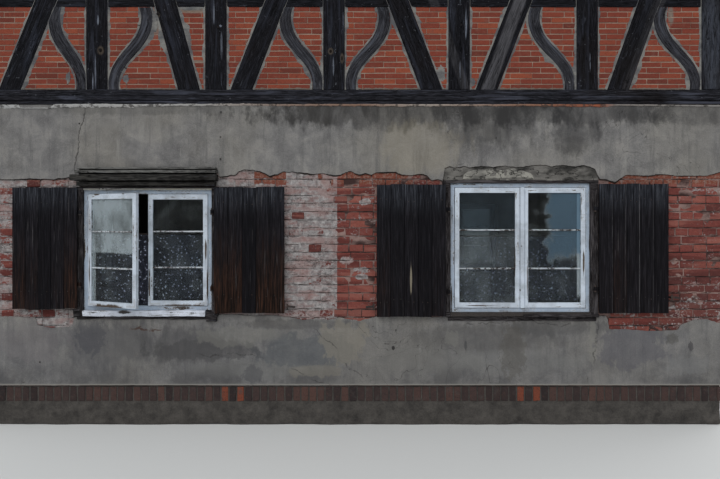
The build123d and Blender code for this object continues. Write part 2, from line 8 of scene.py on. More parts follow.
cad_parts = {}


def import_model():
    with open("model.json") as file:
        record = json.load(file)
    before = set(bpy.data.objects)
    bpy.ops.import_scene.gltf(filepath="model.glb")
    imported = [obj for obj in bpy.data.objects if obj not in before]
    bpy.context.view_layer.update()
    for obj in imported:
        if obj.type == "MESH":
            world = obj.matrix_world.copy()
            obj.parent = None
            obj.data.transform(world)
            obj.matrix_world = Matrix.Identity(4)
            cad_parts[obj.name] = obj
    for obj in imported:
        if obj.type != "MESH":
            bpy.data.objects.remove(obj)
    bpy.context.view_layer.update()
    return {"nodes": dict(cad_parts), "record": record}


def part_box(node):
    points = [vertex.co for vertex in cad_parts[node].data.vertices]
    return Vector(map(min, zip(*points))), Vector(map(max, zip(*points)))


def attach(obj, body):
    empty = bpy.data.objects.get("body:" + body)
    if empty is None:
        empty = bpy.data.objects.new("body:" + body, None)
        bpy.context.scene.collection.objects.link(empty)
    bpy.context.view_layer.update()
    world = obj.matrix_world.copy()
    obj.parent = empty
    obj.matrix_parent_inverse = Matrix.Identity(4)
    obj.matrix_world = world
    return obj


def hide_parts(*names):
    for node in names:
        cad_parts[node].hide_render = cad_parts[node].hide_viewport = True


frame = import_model()
nodes = frame["nodes"]

# Metres. One pixel of the photograph at the plane of the front, the pixel column of the house's
# centre and the pixel row of the ground
PIXEL = 0.0095
CENTRE_COLUMN = 348
GROUND_ROW = 425

HOUSE = "house"
FRONT, BACK, LEFT, RIGHT = 0, 180, -90, 90
half_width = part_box("front_wall_right")[1].x
half_depth = -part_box("front_plaster")[0].y
brick_depth = -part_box("front_wall_right")[0].y
sill_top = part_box("posts")[0].z
plate_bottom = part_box("posts")[1].z
plate_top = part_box("eaves_plates")[1].z
wall_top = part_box("front_wall_right")[1].z
plinth_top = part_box("plinth")[1].z
plaster_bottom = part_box("front_plaster")[0].z
truss_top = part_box("gable_trusses")[1].z
PITCH = math.radians(47)
INFILL_RECESS = 0.012
COURSE_FOOT = 0.872 + 0.0665
COURSE = 0.0665 + 0.0108
# The spots of limewash that are left on the red bricks: their middles and half sizes in pixels
WASH_SPOTS = (((365, 202), (5, 3)), ((345, 260), (7, 4)), ((362, 270), (7, 3)), ((361, 277), (6, 3)))
POST = 0.205
FRONT_BAYS = (1.074, 1.130, 1.121, 1.188, 1.216, 1.187)
GABLE_BAYS = ((2 * half_depth - POST) / 4,) * 4


def column(px):
    """X of a pixel column of the photograph, at the front."""
    return (px - CENTRE_COLUMN) * PIXEL


def row(py):
    """Z of a pixel row of the photograph, at the front."""
    return (GROUND_ROW - py) * PIXEL


def facing(side):
    """Turns what is made for the street front to another side of the house."""
    return Matrix.Rotation(math.radians(side), 4, "Z")


def through(points, px):
    """The value at px of a line through points (px, value)."""
    for (x0, y0), (x1, y1) in zip(points, points[1:]):
        if px <= x1:
            return y0 + (y1 - y0) * max(0.0, (px - x0) / (x1 - x0))
    return points[-1][1]


# Without a seed the offsets of noise_vector follow the clock
noise.seed_set(1)


def rough(place, fineness, seed=0.0):
    """Smooth noise from about -1 to 1, at so many bumps a metre."""
    return noise.noise(Vector(place) * fineness + Vector((seed, 1.7 * seed, 0.3 * seed)))


# Making pieces


def finish_piece(name, bm, material, body=HOUSE, smooth=False):
    """Writes a bmesh to a new object that rides on a body."""
    mesh = bpy.data.meshes.new(name)
    bm.to_mesh(mesh)
    bm.free()
    if smooth:
        mesh.shade_smooth()
    piece = bpy.data.objects.new(name, mesh)
    bpy.context.scene.collection.objects.link(piece)
    mesh.materials.append(material)
    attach(piece, body)
    return piece


def add_box(bm, low, high, turn=None):
    """A box between two corners, perhaps turned. Returns its vertices."""
    low = Vector(low)
    high = Vector(high)
    place = Matrix.Translation((low + high) / 2) @ Matrix.Diagonal((*(high - low), 1.0))
    if turn is not None:
        place = turn @ place
    return bmesh.ops.create_cube(bm, size=1.0, matrix=place)["verts"]


def round_edges(bm, width, segments=1):
    bmesh.ops.bevel(
        bm, geom=bm.edges[:], offset=width, segments=segments, affect="EDGES", profile=0.5, material=-1,
        clamp_overlap=True,
    )


def repeated(template, places):
    """A bmesh with a copy of a small mesh at each place."""
    bm = bmesh.new()
    for place in places:
        bm.from_mesh(template)
    bm.verts.ensure_lookup_table()
    count = len(template.vertices)
    for i, place in enumerate(places):
        for vert in bm.verts[i * count : (i + 1) * count]:
            vert.co = place @ vert.co
    return bm


def clean_copy(node):
    """A bmesh of a node's solids with their flat faces whole."""
    bm = bmesh.new()
    bm.from_mesh(nodes[node].data)
    bmesh.ops.remove_doubles(bm, verts=bm.verts[:], dist=1e-5)
    bmesh.ops.dissolve_limit(bm, angle_limit=0.01, verts=bm.verts[:], edges=bm.edges[:])
    return bm


def islands(bm):
    """The separate solids of a mesh, as lists of vertices."""
    left = set(bm.verts)
    for start in bm.verts:
        if start not in left:
            continue
        left.remove(start)
        found = [start]
        for vert in found:
            for edge in vert.link_edges:
                other = edge.other_vert(vert)
                if other in left:
                    left.remove(other)
                    found.append(other)
        yield found


def limits(points):
    """The lowest and the highest corner of some points."""
    low = Vector(min(point[i] for point in points) for i in range(3))
    high = Vector(max(point[i] for point in points) for i in range(3))
    return low, high


def solid_boxes(node):
    bm = clean_copy(node)
    boxes = [limits([vert.co for vert in found]) for found in islands(bm)]
    bm.free()
    return boxes


def cut_across(bm, axis, step):
    """Cuts the mesh at even steps along an axis, so that it can be bent a little."""
    values = [vert.co[axis] for vert in bm.verts]
    normal = Vector((0, 0, 0))
    normal[axis] = 1
    at = min(values) + step
    while at < max(values) - step / 3:
        cut_at(bm, normal * at, normal)
        at += step


def cut_at(bm, place, normal, keep_below=False):
    bmesh.ops.bisect_plane(
        bm, geom=bm.verts[:] + bm.edges[:] + bm.faces[:], dist=1e-5,
        plane_co=place, plane_no=normal, clear_outer=keep_below,
    )


# Materials


def shade(red, green, blue):
    """A colour written as it looks on a screen, 0 to 255, made linear."""
    parts = []
    for value in (red, green, blue):
        value = value / 255
        parts.append(value / 12.92 if value <= 0.04045 else ((value + 0.055) / 1.055) ** 2.4)
    return (*parts, 1.0)


class Recipe:
    """The nodes of one material, on the coordinates of the house unless a vector is given."""

    def __init__(self, name, roughness=0.9, specular=0.25):
        self.material = bpy.data.materials.new(name)
        self.material.use_nodes = True
        self.tree = self.material.node_tree
        self.shader = self.tree.nodes["Principled BSDF"]
        self.shader.inputs["Roughness"].default_value = roughness
        self.shader.inputs["Specular IOR Level"].default_value = specular
        self.place = self.node("ShaderNodeTexCoord").outputs["Object"]
        self.apart = self.node("ShaderNodeSeparateXYZ", {0: self.place}).outputs
        self.x, self.y, self.z = self.apart

    def node(self, kind, inputs=(), **settings):
        made = self.tree.nodes.new(kind)
        for key, value in settings.items():
            setattr(made, key, value)
        for key, value in dict(inputs).items():
            self.put(made.inputs[key], value)
        return made

    def put(self, socket, value):
        if isinstance(value, bpy.types.NodeSocket):
            self.tree.links.new(value, socket)
        else:
            socket.default_value = value

    def stretched(self, scale, vector=None):
        return self.node("ShaderNodeMapping", {"Vector": vector or self.place, "Scale": scale}).outputs[0]

    def noise(self, scale, detail=5.0, rough=0.55, vector=None, distortion=0.0):
        made = self.node(
            "ShaderNodeTexNoise",
            {"Vector": vector or self.place, "Scale": scale, "Detail": detail, "Roughness": rough,
             "Distortion": distortion},
        )
        return made.outputs["Fac"]

    def cells(self, scale, vector=None, feature="F1"):
        inputs = {"Vector": vector or self.place, "Scale": scale}
        return self.node("ShaderNodeTexVoronoi", inputs, feature=feature).outputs["Distance"]

    def steps(self, value, low, high, to_low=0.0, to_high=1.0):
        made = self.node(
            "ShaderNodeMapRange",
            {"Value": value, "From Min": low, "From Max": high, "To Min": to_low, "To Max": to_high},
            interpolation_type="SMOOTHSTEP",
        )
        return made.outputs["Result"]

    def math(self, operation, first, second=0.5, clamp=False):
        made = self.node("ShaderNodeMath", {0: first, 1: second}, operation=operation, use_clamp=clamp)
        return made.outputs[0]

    def times(self, first, second):
        return self.math("MULTIPLY", first, second)

    def plus(self, first, second):
        return self.math("ADD", first, second)

    def between(self, value, low, high, soft=0.01):
        """1 between two limits and 0 outside them."""
        inside = self.steps(value, low - soft, low + soft)
        return self.times(inside, self.steps(value, high - soft, high + soft, 1.0, 0.0))

    def over(self, value, threshold, soft=0.03):
        """1 where a value is over a threshold, which may itself vary."""
        return self.steps(self.math("SUBTRACT", value, threshold), -soft, soft)

    def attribute(self, name):
        return self.node("ShaderNodeAttribute", attribute_name=name).outputs["Fac"]

    def mix(self, factor, first, second, blend="MIX"):
        made = self.node("ShaderNodeMix", data_type="RGBA", blend_type=blend)
        self.put(made.inputs[0], factor)
        self.put(made.inputs[6], first)
        self.put(made.inputs[7], second)
        return made.outputs[2]

    def ramp(self, value, *stops):
        made = self.node("ShaderNodeValToRGB", {"Fac": value})
        stops = sorted(stops)
        ramp = made.color_ramp
        ramp.elements[0].position = stops[0][0]
        ramp.elements[0].color = stops[0][1]
        ramp.elements[1].position = stops[-1][0]
        ramp.elements[1].color = stops[-1][1]
        for position, colour in stops[1:-1]:
            ramp.elements.new(position).color = colour
        return made.outputs["Color"]

    def bump(self, height, strength, distance, below=None):
        made = self.node("ShaderNodeBump", {"Height": height, "Strength": strength, "Distance": distance})
        if below is not None:
            self.put(made.inputs["Normal"], below)
        return made.outputs["Normal"]

    def finish(self, colour, normal=None, roughness=None):
        self.put(self.shader.inputs["Base Color"], colour)
        if normal is not None:
            self.put(self.shader.inputs["Normal"], normal)
        if roughness is not None:
            self.put(self.shader.inputs["Roughness"], roughness)
        return self.material


def on_street(r):
    """1 on the street front, where the marks of the photograph are, and 0 elsewhere."""
    return r.steps(r.y, -2.6, -2.7)


def old_timber(name, dark, middle, light, streak, pale=0.5, marks=(), faded=(), knots=()):
    """Weathered oak, nearly black, with grain and checks along the UV map's first direction."""
    r = Recipe(name, roughness=0.9, specular=0.05)
    uv = r.node("ShaderNodeUVMap", uv_map="grain").outputs["UV"]
    fibre = r.noise(11.0, 8.0, 0.75, r.stretched((0.8, 14.0, 1.0), uv), 0.3)
    coarse = r.noise(3.0, 4.0, 0.6, r.stretched((0.5, 6.0, 1.0), uv), 0.6)
    check = r.noise(6.0, 3.0, 0.5, r.stretched((0.35, 6.0, 1.0), uv), 0.4)
    crack = r.steps(r.math("ABSOLUTE", r.math("SUBTRACT", check, 0.5)), 0.0, 0.012, 1.0, 0.0)
    crack = r.times(crack, r.steps(r.noise(1.6, 2.0), 0.46, 0.58))
    colour = r.ramp(fibre, (0.36, dark), (0.5, middle), (0.64, light))
    colour = r.mix(r.steps(coarse, 0.5, 0.68, 0.0, 0.75), colour, streak)
    colour = r.mix(r.steps(r.noise(1.3, 3.0), 0.52, 0.72, 0.0, 0.5), colour, shade(22, 18, 17))
    drips = r.noise(10.0, 6.0, 0.7, r.stretched((0.32, 9.0, 1.0), uv), 0.2)
    drips = r.times(r.steps(drips, 0.6, 0.68), r.steps(r.noise(1.9, 4.0, 0.6), 0.5, 0.62))
    colour = r.mix(r.times(drips, pale), colour, shade(112, 117, 130))
    for top, lean, half, strength in faded:
        across = r.plus(r.x, r.times(r.z, lean))
        off = r.math("ABSOLUTE", r.math("SUBTRACT", across, column(top) + lean * row(0)))
        grey = r.times(r.steps(off, half * PIXEL, (half - 2.5) * PIXEL), on_street(r))
        grey = r.times(
            grey, r.steps(r.plus(r.times(fibre, 0.5), r.times(coarse, 0.5)), 0.4, 0.56, 0.35, 1.0),
        )
        colour = r.mix(r.times(grey, strength), colour, shade(120, 118, 122))
    for middle, size, strength in marks:
        mark = r.times(around(r, middle, size, 0.6, 0.2), r.steps(fibre, 0.4, 0.52))
        colour = r.mix(r.times(mark, strength), colour, shade(112, 117, 128))
    for middle, size in knots:
        ring = around(r, middle, size, 0.1, scale=30.0)
        heart = around(r, middle, (size[0] * 0.5, size[1] * 0.5), 0.1, scale=30.0)
        colour = r.mix(r.times(ring, 0.75), colour, shade(72, 64, 57))
        colour = r.mix(r.times(heart, 0.9), colour, shade(16, 12, 10))
    chips = r.steps(r.noise(38.0, 4.0, 0.7), 0.66, 0.7, 0.0, 0.7)
    colour = r.mix(chips, colour, shade(86, 88, 94))
    colour = r.mix(crack, colour, shade(4, 4, 5))
    height = r.math("SUBTRACT", r.times(fibre, 0.5), r.times(crack, 1.4))
    return r.finish(colour, r.bump(height, 0.9, 0.004, r.bump(coarse, 0.5, 0.01)))


def brick(name, low, middle, high, dirt, lime=False, burnt=(), smeared=False):
    """Fired brick. Each brick has its own tone, and some of the wall has old limewash on it."""
    r = Recipe(name, roughness=0.92, specular=0.1)
    tone = r.attribute("tone")
    grain = r.noise(120.0, 6.0, 0.7)
    patches = r.noise(14.0, 5.0, 0.65)
    colour = r.ramp(tone, (0.05, low), (0.5, middle), (0.95, high))
    for first, last in burnt:
        inside = r.times(
            r.between(r.x, column(first), column(last), 0.01), r.steps(tone, 0.3, 0.5, 0.0, 0.8),
        )
        colour = r.mix(inside, colour, shade(128, 66, 46))
    speckle = r.noise(46.0, 5.0, 0.7)
    colour = r.mix(r.steps(speckle, 0.54, 0.66, 0.0, 0.5), colour, high)
    colour = r.mix(r.steps(speckle, 0.46, 0.34, 0.0, 0.55), colour, low)
    colour = r.mix(r.steps(grain, 0.35, 0.7, 0.0, 0.5), colour, low)
    colour = r.mix(r.steps(patches, 0.52, 0.75, 0.0, 0.6), colour, dirt)
    if lime:
        banded = r.noise(3.0, 3.0, 0.6, r.stretched((0.45, 1.0, 3.6)))
        colour = r.mix(r.steps(banded, 0.53, 0.62, 0.0, 0.45), colour, shade(142, 92, 82))
        colour = r.mix(r.steps(banded, 0.47, 0.38, 0.0, 0.5), colour, shade(66, 34, 32))
        low_right = r.times(r.steps(r.x, column(640), column(690)), r.steps(r.z, row(240), row(300)))
        colour = r.mix(r.times(low_right, 0.5), colour, shade(62, 44, 43))
        colour = r.mix(r.times(bare_top(r), 0.75), colour, shade(108, 62, 48))
        rough_top = r.times(r.steps(r.z, row(186), row(182.5)), r.steps(speckle, 0.48, 0.6, 0.0, 0.6))
        colour = r.mix(rough_top, colour, shade(128, 108, 98))
        pits = r.steps(r.cells(90.0), 0.1, 0.2, 0.7, 0.0)
        colour = r.mix(pits, colour, shade(58, 36, 34))
        colour = limewashed(r, colour, r.times(r.math("SUBTRACT", tone, 0.5), 0.58))
    if smeared:
        below = r.plus(r.z, r.times(r.math("SUBTRACT", patches, 0.5), 0.04))
        smear = r.steps(below, row(87.6), row(88.4), 0.0, 0.85)
        for middle, size in (
            ((154, 20), (8, 15)), ((190, 9), (18, 4)), ((199, 61.5), (8, 1.6)), ((671, 14), (3, 9)),
        ):
            smear = r.math("MAXIMUM", smear, r.times(around(r, middle, size, 0.4), 0.8))
        colour = r.mix(smear, colour, shade(106, 103, 96))
    return r.finish(colour, r.bump(grain, 0.6, 0.003, r.bump(patches, 0.6, 0.008)))


def mortar(name, low, high, lime=False, cracked=False):
    r = Recipe(name, roughness=0.95, specular=0.1)
    grit = r.noise(160.0, 5.0, 0.7)
    broad = r.noise(6.0, 5.0, 0.6, r.stretched((0.6, 1.0, 1.4)))
    colour = r.mix(r.steps(broad, 0.38, 0.62), low, high)
    colour = r.mix(r.steps(grit, 0.4, 0.8, 0.0, 0.5), colour, shade(52, 47, 44))
    if cracked:
        line = r.math(
            "ABSOLUTE", r.math("SUBTRACT", r.noise(4.5, 6.0, 0.6, r.stretched((1.0, 1.0, 2.4))), 0.5),
        )
        colour = r.mix(r.steps(line, 0.006, 0.02, 0.9, 0.0), colour, shade(30, 29, 28))
    if lime:
        colour = limewashed(r, colour, 0.12)
        # A wavering dark line along each bed joint: partly cracks, partly painted shade in the joint.
        share = r.math("FRACT", r.math("DIVIDE", r.math("SUBTRACT", r.z, COURSE_FOOT), COURSE))
        middle = r.steps(r.noise(5.0, 3.0, 0.6), 0.35, 0.65, 0.01, 0.13)
        off = r.math("ABSOLUTE", r.math("SUBTRACT", share, middle))
        gap = r.times(r.steps(off, 0.018, 0.055, 1.0, 0.0), r.steps(r.noise(8.0, 5.0, 0.7), 0.43, 0.51))
        colour = r.mix(gap, colour, shade(30, 23, 22))
    return r.finish(colour, r.bump(grit, 0.6, 0.003, r.bump(broad, 0.4, 0.01)))


def bare_top(r):
    """1 in the stretches of the top course that have lost their wash and are orange."""
    mask = 0.0
    for first, last in ((254, 286), (318, 333), (341, 412), (600, 730)):
        mask = r.plus(r.between(r.x, column(first), column(last), 0.006), mask)
    return r.times(mask, r.steps(r.z, row(186), row(182.5)))


def limewashed(r, colour, shift):
    """Adds what is left of the limewash, thick between the left window and the red stretch."""
    front = r.steps(r.y, -half_depth + 0.1, -half_depth + 0.05)
    worn_top = r.times(bare_top(r), 0.3)
    thick = r.between(r.x, column(212), column(337), 0.004)
    thick = r.times(thick, r.plus(r.math("SUBTRACT", 0.26, worn_top), shift))
    thin = r.times(r.between(r.x, column(-40), column(80), 0.02), r.plus(r.times(shift, 0.5), 0.11))
    right_end = r.steps(r.x, column(600), column(640))
    low_end = r.times(right_end, r.steps(r.z, row(262), row(315), 0.0, 0.05))
    amount = r.plus(r.plus(thick, thin), low_end)
    amount = r.times(r.plus(amount, 0.022), front)
    for middle, size in WASH_SPOTS:
        spot = around(r, middle, size, 0.8)
        amount = r.plus(amount, r.times(spot, 0.2))
    flakes = r.noise(8.0, 7.0, 0.7, r.stretched((0.6, 1.0, 1.5)), 0.4)
    fine = r.noise(50.0, 5.0, 0.72)
    level = r.plus(r.times(flakes, 0.6), r.times(fine, 0.4))
    cover = r.over(level, r.math("SUBTRACT", 0.62, amount), 0.03)
    dots = r.times(r.steps(r.cells(31.0), 0.1, 0.2, 0.9, 0.0), r.steps(r.noise(7.0, 4.0, 0.6), 0.42, 0.54))
    dots = r.times(dots, r.steps(r.plus(r.x, r.times(r.z, -0.5)), column(560), column(690)))
    cover = r.math("MAXIMUM", cover, r.times(dots, front))
    wash = r.ramp(
        r.noise(30.0, 6.0, 0.72), (0.34, shade(102, 97, 97)), (0.5, shade(138, 134, 133)),
        (0.66, shade(164, 160, 158)),
    )
    pink = r.noise(5.0, 4.0, 0.6, r.stretched((0.6, 1.0, 2.0)))
    wash = r.mix(r.steps(pink, 0.46, 0.6, 0.0, 0.6), wash, shade(138, 112, 108))
    thickness = r.steps(r.noise(17.0, 5.0, 0.65, r.stretched((0.6, 1.0, 1.5))), 0.36, 0.54, 0.6, 0.97)
    colour = r.mix(r.times(cover, thickness), colour, wash)
    line = r.math(
        "ABSOLUTE", r.math("SUBTRACT", r.noise(5.0, 7.0, 0.7, r.stretched((0.6, 1.0, 1.7)), 0.3), 0.5),
    )
    split = r.times(r.steps(line, 0.004, 0.011, 0.85, 0.0), r.steps(r.noise(3.0, 3.0, 0.6), 0.46, 0.54))
    return r.mix(r.times(split, cover), colour, shade(54, 48, 46))


def around(r, middle, size, ragged, drip=1.0, soft=0.3, scale=9.0):
    """1 in a cloudy patch around a place of the front, given in pixels of the photograph."""
    across = r.math("DIVIDE", r.math("SUBTRACT", r.x, column(middle[0])), size[0] * PIXEL)
    up = r.math("DIVIDE", r.math("SUBTRACT", r.z, row(middle[1])), size[1] * PIXEL)
    distance = r.math("SQRT", r.plus(r.times(across, across), r.times(up, up)))
    cloud = r.math("SUBTRACT", r.noise(scale, 7.0, 0.68, r.stretched((1.0, 1.0, drip))), 0.5)
    cloud = r.plus(distance, r.times(cloud, ragged * 3.4))
    return r.times(r.steps(cloud, 1 + soft, 1 - soft), on_street(r))


def slit(r, start, end, half, sway=0.24):
    """1 along a thin wavering line between two places of the front, given in pixels."""
    x, z = column(start[0]), row(start[1])
    run, rise = column(end[0]) - x, row(end[1]) - z
    length = math.hypot(run, rise)
    x, z = r.math("SUBTRACT", r.x, x), r.math("SUBTRACT", r.z, z)
    along = r.plus(r.times(x, run / length), r.times(z, rise / length))
    off = r.math("SUBTRACT", r.times(z, run / length), r.times(x, rise / length))
    off = r.math("ABSOLUTE", r.plus(off, r.times(r.math("SUBTRACT", r.noise(3.5, 7.0, 0.6), 0.5), sway)))
    inside = r.times(
        r.steps(off, half * PIXEL * 1.3, half * PIXEL * 0.4), r.between(along, 0.0, length, 0.05),
    )
    inside = r.times(inside, r.steps(r.noise(9.0, 4.0, 0.65), 0.42, 0.52, 0.15, 1.0))
    return r.times(inside, on_street(r))


def plaster():
    """Grey cement render, darker in streaky patches just under the beam, with other patches and fine grit.
    """
    r = Recipe("plaster", roughness=0.95, specular=0.1)
    grit = r.noise(140.0, 6.0, 0.7)
    trowel = r.noise(6.0, 7.0, 0.68, None, 0.4)
    broad = r.noise(1.1, 4.0, 0.55)
    runs = r.noise(14.0, 6.0, 0.68, r.stretched((1.0, 1.0, 0.1)))
    clouds = r.noise(5.0, 6.0, 0.62, r.stretched((1.0, 1.0, 0.4)), 0.4)
    colour = r.ramp(
        trowel, (0.32, shade(94, 92, 92)), (0.5, shade(112, 110, 109)), (0.66, shade(128, 125, 122)),
    )
    colour = r.mix(r.steps(broad, 0.42, 0.68, 0.0, 0.4), colour, shade(124, 119, 109))
    colour = r.mix(r.steps(runs, 0.5, 0.68, 0.0, 0.5), colour, shade(82, 81, 81))
    colour = r.mix(r.steps(runs, 0.44, 0.3, 0.0, 0.4), colour, shade(140, 138, 133))
    colour = r.mix(r.steps(grit, 0.5, 0.64, 0.0, 0.35), colour, shade(70, 69, 68))
    colour = r.mix(r.steps(grit, 0.47, 0.34, 0.0, 0.3), colour, shade(146, 144, 140))
    for middle, size, strength, tint in (
        ((400, 110), (150, 18), 0.85, shade(46, 45, 45)),
        ((330, 114), (60, 9), 0.5, shade(52, 50, 48)),
        ((560, 111), (120, 14), 0.75, shade(50, 49, 49)),
        ((700, 111), (70, 13), 0.6, shade(52, 51, 51)),
        ((492, 124), (50, 24), 0.6, shade(50, 49, 49)),
        ((573, 130), (22, 24), 0.6, shade(46, 45, 46)),
        ((140, 109), (90, 6), 0.5, shade(70, 69, 68)),
        ((420, 150), (40, 25), 0.3, shade(136, 128, 112)),
        ((110, 345), (52, 24), 0.45, shade(62, 62, 65)),
        ((190, 345), (44, 18), 0.5, shade(60, 58, 57)),
        ((300, 324), (60, 5), 0.45, shade(64, 62, 61)),
        ((480, 338), (80, 14), 0.45, shade(72, 69, 64)),
        ((560, 328), (50, 8), 0.5, shade(66, 65, 64)),
        ((255, 370), (70, 9), 0.5, shade(116, 115, 111)),
        ((430, 360), (50, 14), 0.4, shade(112, 110, 105)),
        ((515, 362), (60, 12), 0.4, shade(120, 119, 115)),
    ):
        streaky = middle[1] < 140
        spot = around(r, middle, size, 0.7, 0.6 if streaky else 0.45)
        if streaky:
            spot = r.times(spot, r.steps(clouds, 0.38, 0.6, 0.5, 1.0))
        colour = r.mix(r.times(spot, strength), colour, tint)
    low = r.steps(r.z, row(318), row(335))
    colour = r.mix(r.times(low, 0.3), colour, shade(84, 84, 87))
    foot = r.times(r.steps(r.z, 0.62, 0.42), r.steps(r.noise(2.6, 5.0, 0.6), 0.4, 0.6))
    colour = r.mix(r.times(foot, 0.55), colour, shade(62, 61, 62))
    colour = r.mix(r.times(r.steps(r.z, 0.396, 0.386), 0.8), colour, shade(126, 123, 117))
    for middle, size, strength, tint in (
        ((306, 351), (50, 16), 0.5, shade(74, 78, 82)),
        ((343, 342), (22, 21), 0.5, shade(126, 120, 109)),
        ((316, 371), (26, 6), 0.45, shade(118, 113, 104)),
        ((253, 374), (9, 9), 0.5, shade(70, 70, 73)),
        ((205, 350), (54, 11), 0.5, shade(64, 63, 64)),
        ((236, 337), (40, 9), 0.35, shade(118, 116, 110)),
        ((90, 336), (15, 18), 0.45, shade(62, 62, 68)),
        ((32, 340), (34, 22), 0.35, shade(108, 103, 104)),
        ((452, 338), (7, 9), 0.3, shade(122, 120, 114)),
        ((513, 352), (12, 28), 0.4, shade(76, 72, 66)),
        ((593, 342), (4, 20), 0.5, shade(118, 116, 110)),
        ((632, 347), (35, 21), 0.5, shade(82, 81, 87)),
        ((672, 339), (6, 5), 0.45, shade(70, 68, 62)),
        ((690.6, 346), (2.8, 4.5), 0.6, shade(58, 56, 58)),
        ((690, 365), (22, 9), 0.35, shade(112, 112, 112)),
        ((393, 348), (1.7, 2), 0.9, shade(42, 40, 40)),
        ((465.6, 345), (1.3, 5), 0.6, shade(58, 58, 60)),
    ):
        spot = around(r, middle, size, 0.8, 0.7, 0.14, 9.0 if size[0] > 20 else 20.0)
        colour = r.mix(r.times(spot, strength), colour, tint)
    slits = 0.0
    for start, end, half in (
        ((198, 353), (262, 356), 0.8), ((314, 328), (336, 352), 0.6), ((336, 352), (362, 378), 0.6),
        ((292, 371), (333, 383), 0.6), ((597, 323), (596, 362), 0.9), ((464, 322.5), (594, 322), 0.6),
    ):
        slits = r.math("MAXIMUM", slits, slit(r, start, end, half))
    colour = r.mix(r.times(slits, 0.6), colour, shade(52, 50, 50))
    drips = slit(r, (132, 327.5), (162, 328.5), 0.8)
    colour = r.mix(r.times(drips, 0.8), colour, shade(70, 50, 42))
    hair = r.noise(1.9, 3.0, 0.6, None, 1.2)
    hair = r.steps(r.math("ABSOLUTE", r.math("SUBTRACT", hair, 0.5)), 0.0, 0.0035, 1.0, 0.0)
    hair = r.times(hair, r.times(r.steps(r.noise(0.9, 2.0), 0.55, 0.62), r.steps(r.y, 2.0, 1.8)))
    hair = r.math("MAXIMUM", hair, joint_crack(r))
    colour = r.mix(r.times(hair, 0.75), colour, shade(44, 42, 41))
    speck = r.times(r.steps(r.cells(55.0), 0.06, 0.14, 0.8, 0.0), r.steps(trowel, 0.5, 0.6))
    colour = r.mix(speck, colour, shade(60, 58, 55))
    height = r.math("SUBTRACT", grit, r.times(hair, 1.5))
    return r.finish(colour, r.bump(height, 0.4, 0.0025, r.bump(trowel, 0.7, 0.016)))


def joint_crack(r):
    """The crack that runs down from the beam where two coats of plaster meet."""
    down = r.steps(r.z, row(101), row(176))
    sway = r.times(r.math("SUBTRACT", r.noise(5.0, 4.0, 0.6), 0.5), 0.16)
    line = r.plus(r.plus(r.times(down, -9 * PIXEL), column(84.5)), sway)
    off = r.math("ABSOLUTE", r.math("SUBTRACT", r.x, line))
    inside = r.times(r.steps(off, 0.002, 0.006, 1.0, 0.0), r.steps(r.z, row(178), row(170)))
    return r.times(inside, on_street(r))


def beam_mortar():
    """The mortar pressed under the sill beam: white at the ends, sandy in the middle."""
    r = Recipe("beam_mortar", roughness=0.95, specular=0.1)
    along = r.math("DIVIDE", r.math("SUBTRACT", r.x, column(-40)), 800 * PIXEL)
    tint = r.ramp(
        along, (0.0, shade(152, 152, 152)), (0.3, shade(154, 151, 148)), (0.4, shade(132, 114, 104)),
        (0.5, shade(124, 98, 84)), (0.58, shade(150, 140, 132)), (0.7, shade(128, 98, 82)),
        (0.8, shade(132, 76, 56)), (0.82, shade(122, 115, 110)), (1.0, shade(126, 124, 122)),
    )
    grit = r.noise(90.0, 6.0, 0.7)
    colour = r.mix(r.steps(r.noise(20.0, 6.0, 0.72), 0.5, 0.6, 0.0, 0.8), tint, shade(58, 55, 52))
    return r.finish(colour, r.bump(grit, 0.7, 0.004))


def peeling_paint(name, paint, wood, worn, grained=False, rot=None, chips=()):
    """Old oil paint that has crazed and come off in flakes, down to grey wood."""
    r = Recipe(name, roughness=0.6, specular=0.3)
    flakes = r.noise(24.0, 7.0, 0.72, None, 0.8)
    fine = r.noise(130.0, 5.0, 0.7)
    broad = r.noise(2.2, 3.0, 0.6)
    level = r.plus(r.times(flakes, 0.6), r.plus(r.times(fine, 0.15), r.times(broad, 0.25)))
    line = 0.5
    if grained:
        uv = r.node("ShaderNodeUVMap", uv_map="grain").outputs["UV"]
        line = r.noise(30.0, 6.0, 0.7, r.stretched((0.09, 1.6, 1.0), uv), 0.2)
        level = r.plus(r.times(level, 0.5), r.times(line, 0.5))
    if rot:
        level = r.plus(level, r.times(r.steps(r.x, column(rot - 4), column(rot)), 0.4))
    bare = r.over(level, 0.62 - worn, 0.012)
    for middle, size in chips:
        bare = r.math("MAXIMUM", bare, around(r, middle, size, 0.8, 0.6))
    rim = r.over(level, 0.6 - worn, 0.012)
    craze = r.cells(95.0, None, "DISTANCE_TO_EDGE")
    craze = r.times(r.steps(craze, 0.0, 0.05, 0.6, 0.0), r.steps(broad, 0.4, 0.6))
    tint = r.mix(r.steps(r.noise(7.0, 5.0, 0.6), 0.38, 0.7, 0.0, 0.55), paint, shade(118, 122, 128))
    tint = r.mix(craze, tint, shade(88, 86, 84))
    tint = r.mix(r.times(rim, 0.6), tint, shade(204, 206, 208))
    under = r.ramp(fine, (0.3, shade(22, 19, 18)), (0.7, wood))
    colour = r.mix(bare, tint, under)
    height = r.math("SUBTRACT", r.times(fine, 0.3), r.times(bare, 1.0))
    return r.finish(colour, r.bump(height, 0.6, 0.0015), r.steps(bare, 0.0, 1.0, 0.5, 0.9))


